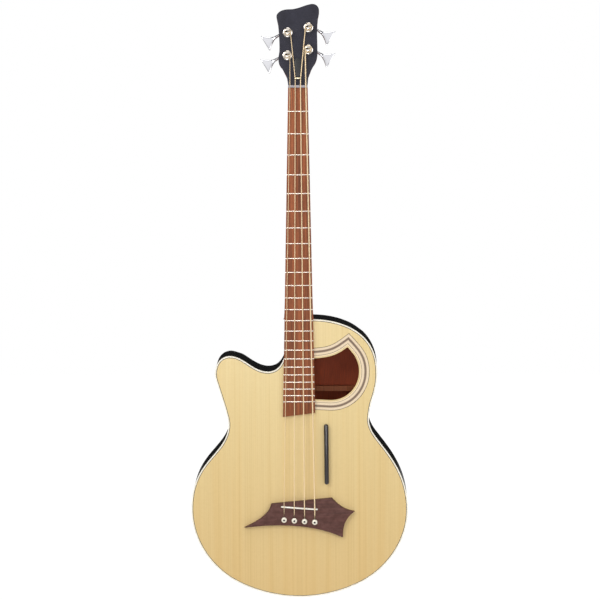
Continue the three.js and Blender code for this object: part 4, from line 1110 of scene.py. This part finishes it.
def tuner_matrix(x, up, side):
    """A machine head's own frame: Y along the post, X along the key's shaft."""
    key = sizes("head").key
    turn = Matrix.Rotation(key if side > 0 else math.pi - key, 4, "Y")
    return head_matrix() @ Matrix.Translation((x, 0, up)) @ turn


class BASS_OT_machine_heads(bpy.types.Operator):
    """Four machine heads with washers, posts, housings and fishtail keys"""

    bl_idname = "bass.machine_heads"
    bl_label = "Machine heads"

    def execute(self, context):
        chrome = metal("chrome_plated", sizes("finish").chrome, 0.1, 6 * MM)
        nickel = metal("nickel_plated", sizes("finish").nickel, 0.16, 6 * MM)
        # Dark steel for the ear screws, and painted shade on the faces inside each post's slot and bore
        dark = metal("blackened_steel_and_recess_shade", linear("#2b2a2a"), 0.4)
        for n, (x, up, side) in enumerate(POSTS, 1):
            matrix = tuner_matrix(x, up, side)
            for piece, body, node, material in (
                (self.bushing(n), GUITAR, "bushing", nickel),
                (self.housing(n, side), GUITAR, "housing", chrome),
                (self.post(n, side), f"tuner_{n}_spindle", "post", nickel),
                (self.key(n, side), f"tuner_{n}_key", "knob", chrome),
            ):
                give(piece, material, dark)
                settle(piece, matrix)
                smooth(piece, 35)
                seat(piece, body, "chrome", f"tuner_{n}_{node}")
            screw = self.screw(n)
            give(screw, dark)
            settle(screw, matrix)
            smooth(screw, 35)
            seat(screw, GUITAR, "steel")
        return {"FINISHED"}

    def bushing(self, n):
        """Threaded bushing with its washer and a dished nut."""
        head = sizes("head")
        bore = head.post + PLAY
        wall = bore + 1.3 * MM
        rim = head.washer
        profile = [(bore, head.wood), (wall, head.wood), (wall, -SEAM), (rim, -SEAM)]
        profile += spots(rim, 0, (0, -0.9), (-0.7, -1.5), (-2.0, -1.7), (-2.3, -1.4), (-2.6, -2.2))
        profile += [*spots(rim, 0, (-3.0, -3.2)), *spots(bore, 0, (0.6, -3.4), (0, -3.0))]
        return turned(f"washer_{n}", profile + profile[:1], 64)

    def housing(self, n, side):
        """Cast can over the worm and wheel, with the shaft's sleeve and a screw ear."""
        head = sizes("head")
        front = head.wood + SEAM
        rear = front + 12 * MM
        profile = spots(head.can, rear, (0, -1.6), (-0.5, -0.5), (-1.6, 0))
        can = turned(f"can_{n}", [(0, front), (head.can, front), *profile, (0, rear)])
        hole = head.shaft + PLAY
        profile = spots(0, 0, (0, -5.6), (3.9, -5.6), (4.5, -5.0), (4.5, 9), (3.8, 10), (3.8, 12.4))
        profile += [*spots(0, 0, (3.3, 13)), *spots(hole, 0, (0, 13), (0, 10)), (0, 10 * MM)]
        sleeve = turned("sleeve", profile, 40)
        lay = Matrix.Rotation(-math.pi / 2, 4, "Z")
        settle(sleeve, Matrix.Translation((0, head.middle, side * head.worm)) @ lay)
        boolean(can, sleeve, "UNION")
        ear = turned("ear", spots(0, front, (0, 0), (3.2, 0), (3.2, 1.9), (2.7, 2.4), (0, 2.4)), 32)
        settle(ear, Matrix.Translation((EAR, 0, 0)))
        boolean(can, ear, "UNION")
        return can

    def screw(self, n):
        """Slotted screw in the housing's ear."""
        top = sizes("head").wood + 2.8 * MM
        profile = spots(0, top, (0, -0.05), (1.9, -0.05), (1.9, 0.5), (1.3, 1.0), (0, 1.1))
        piece = turned(f"ear_screw_{n}", profile, 24)
        slot = block("slot", (-2.5 * MM, top + 0.5 * MM, -0.3 * MM), (2.5 * MM, top + 2 * MM, 0.3 * MM))
        boolean(piece, slot, "DIFFERENCE")
        settle(piece, Matrix.Translation((EAR, 0, 0)))
        return piece

    def post(self, n, side):
        """Slotted, bored post with its flared cap."""
        head = sizes("head")
        top = -head.height
        foot, shoulder = head.middle + 2 * MM, head.wood - 3 * MM
        core = head.post - 0.7 * MM
        profile = [(0, foot), (core, foot), (core, shoulder), (head.post, shoulder)]
        profile += spots(head.post, top, (0, 5.4), (0.15, 3.6))
        profile += spots(head.cap, top, (-0.25, 2.3), (0, 1.6), (0, 0.7), (-0.3, 0.2), (-0.8, 0))
        piece = turned(f"string_post_{n}", [*profile, (0, top)], 56)
        slot = block("slot", (-9 * MM, top - 3 * MM, -1.7 * MM), (9 * MM, top + 6 * MM, 1.7 * MM))
        settle(slot, Matrix.Rotation(-side * head.key, 4, "Y"))
        boolean(piece, slot, "DIFFERENCE")
        bore = turned("bore", spots(0, top, (0, -3), (1.7, -3), (1.7, 13), (0, 13)), 24)
        boolean(piece, bore, "DIFFERENCE")
        first, last = top + 0.1 * MM, top + 14 * MM
        # The faces inside the slot and the bore take the dark steel: painted shade in the post's hollow
        sort_faces(piece, lambda f: first < f.center.y < last and from_axis(f) < 3.8 * MM)
        return piece

    def key(self, n, side):
        """Fishtail blade that swells out of its stem, with its shaft."""
        head = sizes("head")
        begin, run = head.blade_start, head.blade_length
        stations = [(begin - 0.6 * MM, head.neck * 0.8, 1.8 * MM)]
        for k in range(17):
            t = k / 16
            bend = 2 * t * (1 - t)
            x = begin + run * (bend * 0.3 + t * t)
            wide = head.neck * ((1 - t) ** 2 + bend) + head.blade * t * t
            stations.append((x, wide, (2.7 - 1.4 * t) * MM))
        end = begin + run
        stations.append((end + 0.7 * MM, head.blade - 0.4 * MM, 1.0 * MM))
        stations.append((end + 1.0 * MM, head.blade - 1.2 * MM, 0.45 * MM))
        piece = loft(f"fishtail_key_{n}", [self.blade_ring(*station) for station in stations])
        profile = spots(0, 0, (0, -3.6), (1.5, -3.6)) + spots(head.shaft, 0, (0, 3.6), (0, 13.3))
        profile += spots(head.stem, 0, (-0.5, 13.4), (0, 14.0), (0, 15.4), (-0.5, 15.9), (-0.5, 18))
        profile += spots(head.stem, begin, (0, -2), (0, 1), (-0.4, 4), (-1.4, 8))
        stem = turned("stem", [*profile, (0, begin + 12 * MM)], 32)
        settle(stem, Matrix.Rotation(-math.pi / 2, 4, "Z"))
        boolean(piece, stem, "UNION")
        settle(piece, Matrix.Translation((0, head.middle, side * head.worm)))
        return piece

    def blade_ring(self, x, wide, thick):
        """One lens-shaped section of the blade."""
        ring = []
        for k in range(28):
            angle = math.tau * k / 28
            across, up = math.cos(angle), math.sin(angle)
            ring.append((x, thick * up, wide * math.copysign(abs(across) ** 0.8, across)))
        return ring


# Strings


BRIDGE_HEIGHT = 9.5 * MM
RAMP_DEPTH = 4.8 * MM
SADDLE_RISE = 3.3 * MM
FRET_HEIGHT = 1.1 * MM
WASHER_HEIGHT = 3.4 * MM
# Room between a string and the frets at the nut, and between it and its washer
CLEARANCE = 0.6 * MM
# How far above a pin's middle its string comes out of the bridge
HOLE_RISE = 3.2 * MM
# How far the strings lie on the nut
NUT_REACH = 4.5 * MM
# Where the retainer holds the middle strings: across, in front of the face and up from its foot
RETAINER = (5.6 * MM, 4.2 * MM, 13 * MM)
# A string winds round its post, then crosses to the slot in the post's end
WINDINGS = 2.1
WINDING_STEPS = 32
WINDING_GAP = 0.8 * MM
SLOT_HEIGHT = 14.6 * MM
CROSSING = math.radians(200)


class BASS_OT_strings(bpy.types.Operator):
    """Wound strings from the bridge to their posts"""

    bl_idname = "bass.strings"
    bl_label = "Strings"

    def execute(self, context):
        bronze = string_bronze()
        strings = sizes("strings")
        for i in range(4):
            radius = (strings.thin + i * strings.step) / 2
            run, tail = self.route(i, radius)
            for name, path, thick, body, *nodes in (
                (f"wound_string_{i + 1}", run, radius, GUITAR, f"string_{i + 1}"),
                (f"string_tail_{i + 1}", tail, radius * 0.96, f"tuner_{i + 1}_spindle"),
            ):
                piece = tube(name, [path], thick)
                smooth(piece, 60)
                give(piece, bronze)
                seat(piece, body, "string_bronze", *nodes)
        return {"FINISHED"}

    def route(self, i, radius):
        """Points of the string, and of its tail that turns with the post."""
        neck, head, strings = sizes("neck"), sizes("head"), sizes("strings")
        x, nut_x = (i - 1.5) * strings.saddle, (i - 1.5) * strings.nut
        slant = x * math.tan(strings.pin_slant)
        saddle = -(neck.scale + strings.back)
        hole = saddle - strings.pins - slant + HOLE_RISE + radius
        saddle -= slant
        bridge_front = -SEAM - BRIDGE_HEIGHT
        ramp = bridge_front + RAMP_DEPTH
        saddle_y = bridge_front - SADDLE_RISE - 2 * SEAM - radius + camber(x)
        nut_y = -SEAM - neck.thick - FRET_HEIGHT - CLEARANCE - radius + camber(nut_x)
        run = [
            at(x, 8 * MM, hole),
            at(x, ramp + radius, hole),
            at(x, ramp, hole + radius / 2),
            at(x, saddle_y + 0.25 * MM, saddle - 0.8 * MM),
            at(x, saddle_y, saddle),
            at(x, saddle_y, saddle + 1.2 * MM),
            at(nut_x, nut_y, 0),
            at(nut_x, nut_y, NUT_REACH),
        ]
        foot = Vector((nut_x, 0))
        if i in (1, 2):
            across, front, up = RETAINER
            foot = Vector((math.copysign(across, nut_x), up))
            run.append(self.on_head(foot.x, -front, foot.y))
        px, up, side = POSTS[i]
        reach = head.post + SEAM + radius
        gap = Vector((px, up)) - foot
        swing = math.asin(reach / gap.length) * side
        heading = math.atan2(gap.y, gap.x) + swing
        stretch = math.sqrt(gap.length_squared - reach * reach)
        touch = foot + Vector((math.cos(heading), math.sin(heading))) * stretch
        begin = math.atan2(touch.y - up, touch.x - px)
        lift = 2 * radius + WINDING_GAP
        first = WASHER_HEIGHT + CLEARANCE + radius
        for k in range(round(WINDINGS * WINDING_STEPS) + 1 + WINDING_STEPS):
            turn = k / WINDING_STEPS
            angle = begin - side * turn * math.tau
            height = first + lift * min(turn, WINDINGS)
            across, along = reach * math.cos(angle), reach * math.sin(angle)
            run.append(self.on_head(px + across, -height, up + along))
        top = first + lift * WINDINGS
        slot = -SLOT_HEIGHT
        tail = []
        for k in range(17):
            t = k / 16
            angle = -side * CROSSING * (t - 1)
            height = top + (SLOT_HEIGHT - top) * t * t * (3 - 2 * t)
            tail.append((reach * math.cos(angle), -height, reach * math.sin(angle)))
        tail += [
            (reach * 0.72, slot, 0), (reach * 0.4, slot, 0), (0.5 * MM, slot + 0.4 * MM, 0),
            (0, slot + 1.6 * MM, 0), (0, slot + 5 * MM, 0),
        ]
        ring = [self.on_head(px + a, b, up + c) for a, b, c in tail]
        return run, ring

    def on_head(self, x, y, z):
        """A place on the headstock, in the frame."""
        return head_matrix() @ Vector((x, y, z))


# Stage


class BASS_OT_stage(bpy.types.Operator):
    """Floor, lights, background and the photograph's camera"""

    bl_idname = "bass.stage"
    bl_label = "Stage"

    def execute(self, context):
        scene = context.scene
        scene.view_settings.view_transform = "Standard"
        self.world(scene)
        self.floor()
        self.lamps()
        self.camera(scene)
        return {"FINISHED"}

    def world(self, scene):
        """White to the camera and in reflections, with black cloths at both sides that give the
        metal its dark edges and a dark screen far behind that keeps the black sides black."""
        world = bpy.data.worlds.new("studio")
        world.use_nodes = True
        tree = world.node_tree
        tree.nodes.clear()
        path = add(tree, "ShaderNodeLightPath").outputs
        way = add(tree, "ShaderNodeTexCoord").outputs["Generated"]
        axes = add(tree, "ShaderNodeSeparateXYZ", {0: way}).outputs
        rise = mapped(tree, axes["Z"], -0.3, 0.2, 0.35, 1.0)
        apart = computed(tree, "ABSOLUTE", axes["Y"])
        cloths = mapped(tree, apart, 0.6, 0.84, 0.03, 1.0)
        screen = mapped(tree, axes["Y"], 0.85, 0.93, 1.0, 0.015)
        front = computed(tree, "MULTIPLY", cloths, rise)
        mirrored = computed(tree, "MULTIPLY", front, screen)
        bounced = computed(tree, "MAXIMUM", path["Is Glossy Ray"], path["Is Transmission Ray"])
        inner = add(tree, "ShaderNodeMix", {"Factor": bounced, "A": 0.55, "B": mirrored})
        shown = {"Factor": path["Is Camera Ray"], "A": inner.outputs[0], "B": 1.0}
        strength = add(tree, "ShaderNodeMix", shown).outputs[0]
        sky = add(tree, "ShaderNodeBackground", {"Color": WHITE, "Strength": strength})
        add(tree, "ShaderNodeOutputWorld", {"Surface": sky.outputs[0]})
        scene.world = world

    def floor(self):
        """A wide pale floor below the hanging instrument."""
        low = CAD_BOX[0]
        deselect()
        bpy.ops.mesh.primitive_grid_add(
            x_subdivisions=4, y_subdivisions=4, size=9, location=(0, 1, low[2] - 0.35)
        )
        piece = bpy.context.object
        piece.name = "studio_floor"
        material, tree = start("floor_paper")
        place = add(tree, "ShaderNodeTexCoord").outputs["Object"]
        away = add(tree, "ShaderNodeVectorMath", {0: place}, operation="LENGTH").outputs["Value"]
        fade = mapped(tree, away, 1.5, 4.4, 0.86, 0.03)
        share = mapped(tree, away, 0.5, 4.0, 0.85, 1.0)
        watched = add(tree, "ShaderNodeLightPath").outputs["Is Camera Ray"]
        seen = computed(tree, "MULTIPLY", watched, share)
        matte = add(tree, "ShaderNodeBsdfDiffuse", {"Color": fade})
        glow = add(tree, "ShaderNodeEmission", {"Color": WHITE, "Strength": 1.1})
        mix = add(tree, "ShaderNodeMixShader", {0: seen, 1: matte.outputs[0], 2: glow.outputs[0]})
        add(tree, "ShaderNodeOutputMaterial", {"Surface": mix.outputs[0]})
        give(piece, material)

    def lamps(self):
        """Soft boxes left and right in front, one above, and a low one that reaches into the hole."""
        for name, place, size, power in (
            ("key_light", (-2.6, -4.2, 2.2), 2.4, 88),
            ("fill_light", (3.0, -3.8, 0.6), 2.6, 45),
            ("top_light", (0.2, -1.2, 3.2), 2.0, 30),
            ("front_light", (-0.4, -5.6, -0.8), 1.2, 36),
        ):
            lamp = bpy.data.lights.new(name, "AREA")
            lamp.shape = "DISK"
            lamp.size = size
            lamp.energy = power
            piece = link(name, lamp)
            piece.location = place
            aim = Vector((0, 0, -0.5)) - Vector(place)
            piece.rotation_mode = "QUATERNION"
            piece.rotation_quaternion = aim.to_track_quat("-Z", "Y")

    def camera(self, scene):
        """The photograph's view: far off, seven degrees above, with a long lens."""
        view = bpy.data.cameras.new("photo_camera")
        view.lens = 183.15
        view.sensor_width = 36
        view.clip_start = 0.1
        view.clip_end = 100
        piece = link("photo_camera", view)
        aim = Vector((0.0027, -0.009, -0.457))
        azimuth, elevation, roll = math.radians(0.8), math.radians(7), math.radians(0.21)
        distance = 6.283
        flat = math.cos(elevation)
        back = Vector((math.sin(azimuth) * flat, -math.cos(azimuth) * flat, math.sin(elevation)))
        piece.location = aim + back * distance
        piece.rotation_mode = "QUATERNION"
        spin = Matrix.Rotation(-roll, 3, "Z").to_quaternion()
        piece.rotation_quaternion = (-back).to_track_quat("-Z", "Y") @ spin
        scene.camera = piece


class BASS_PT_panel(bpy.types.Panel):
    """Lists the guitar's making steps"""

    bl_label = "Bass guitar"
    bl_idname = "BASS_PT_panel"
    bl_space_type = "VIEW_3D"
    bl_region_type = "UI"
    bl_category = "Bass guitar"

    def draw(self, context):
        for step in STEPS:
            self.layout.operator(step.bl_idname)


GROUPS = {
    "body": BASS_PG_body,
    "neck": BASS_PG_neck,
    "head": BASS_PG_head,
    "strings": BASS_PG_strings,
    "finish": BASS_PG_finish,
}
STEPS = (
    BASS_OT_stage,
    BASS_OT_soundboard,
    BASS_OT_shell,
    BASS_OT_rosette,
    BASS_OT_bracing,
    BASS_OT_bridge,
    BASS_OT_thumb_rest,
    BASS_OT_neck,
    BASS_OT_fingerboard,
    BASS_OT_machine_heads,
    BASS_OT_strings,
)


def register():
    """Registers the classes and the scene's settings."""
    for name, group in GROUPS.items():
        bpy.utils.register_class(group)
        setattr(bpy.types.Scene, "bass_" + name, PointerProperty(type=group))
    for step in STEPS:
        bpy.utils.register_class(step)
    bpy.utils.register_class(BASS_PT_panel)


def unregister():
    """Removes what register added."""
    bpy.utils.unregister_class(BASS_PT_panel)
    for step in reversed(STEPS):
        bpy.utils.unregister_class(step)
    for name, group in GROUPS.items():
        delattr(bpy.types.Scene, "bass_" + name)
        bpy.utils.unregister_class(group)


def main():
    """Builds the whole guitar."""
    register()
    for step in STEPS:
        area, name = step.bl_idname.split(".")
        getattr(getattr(bpy.ops, area), name)()


if __name__ == "__main__":
    main()
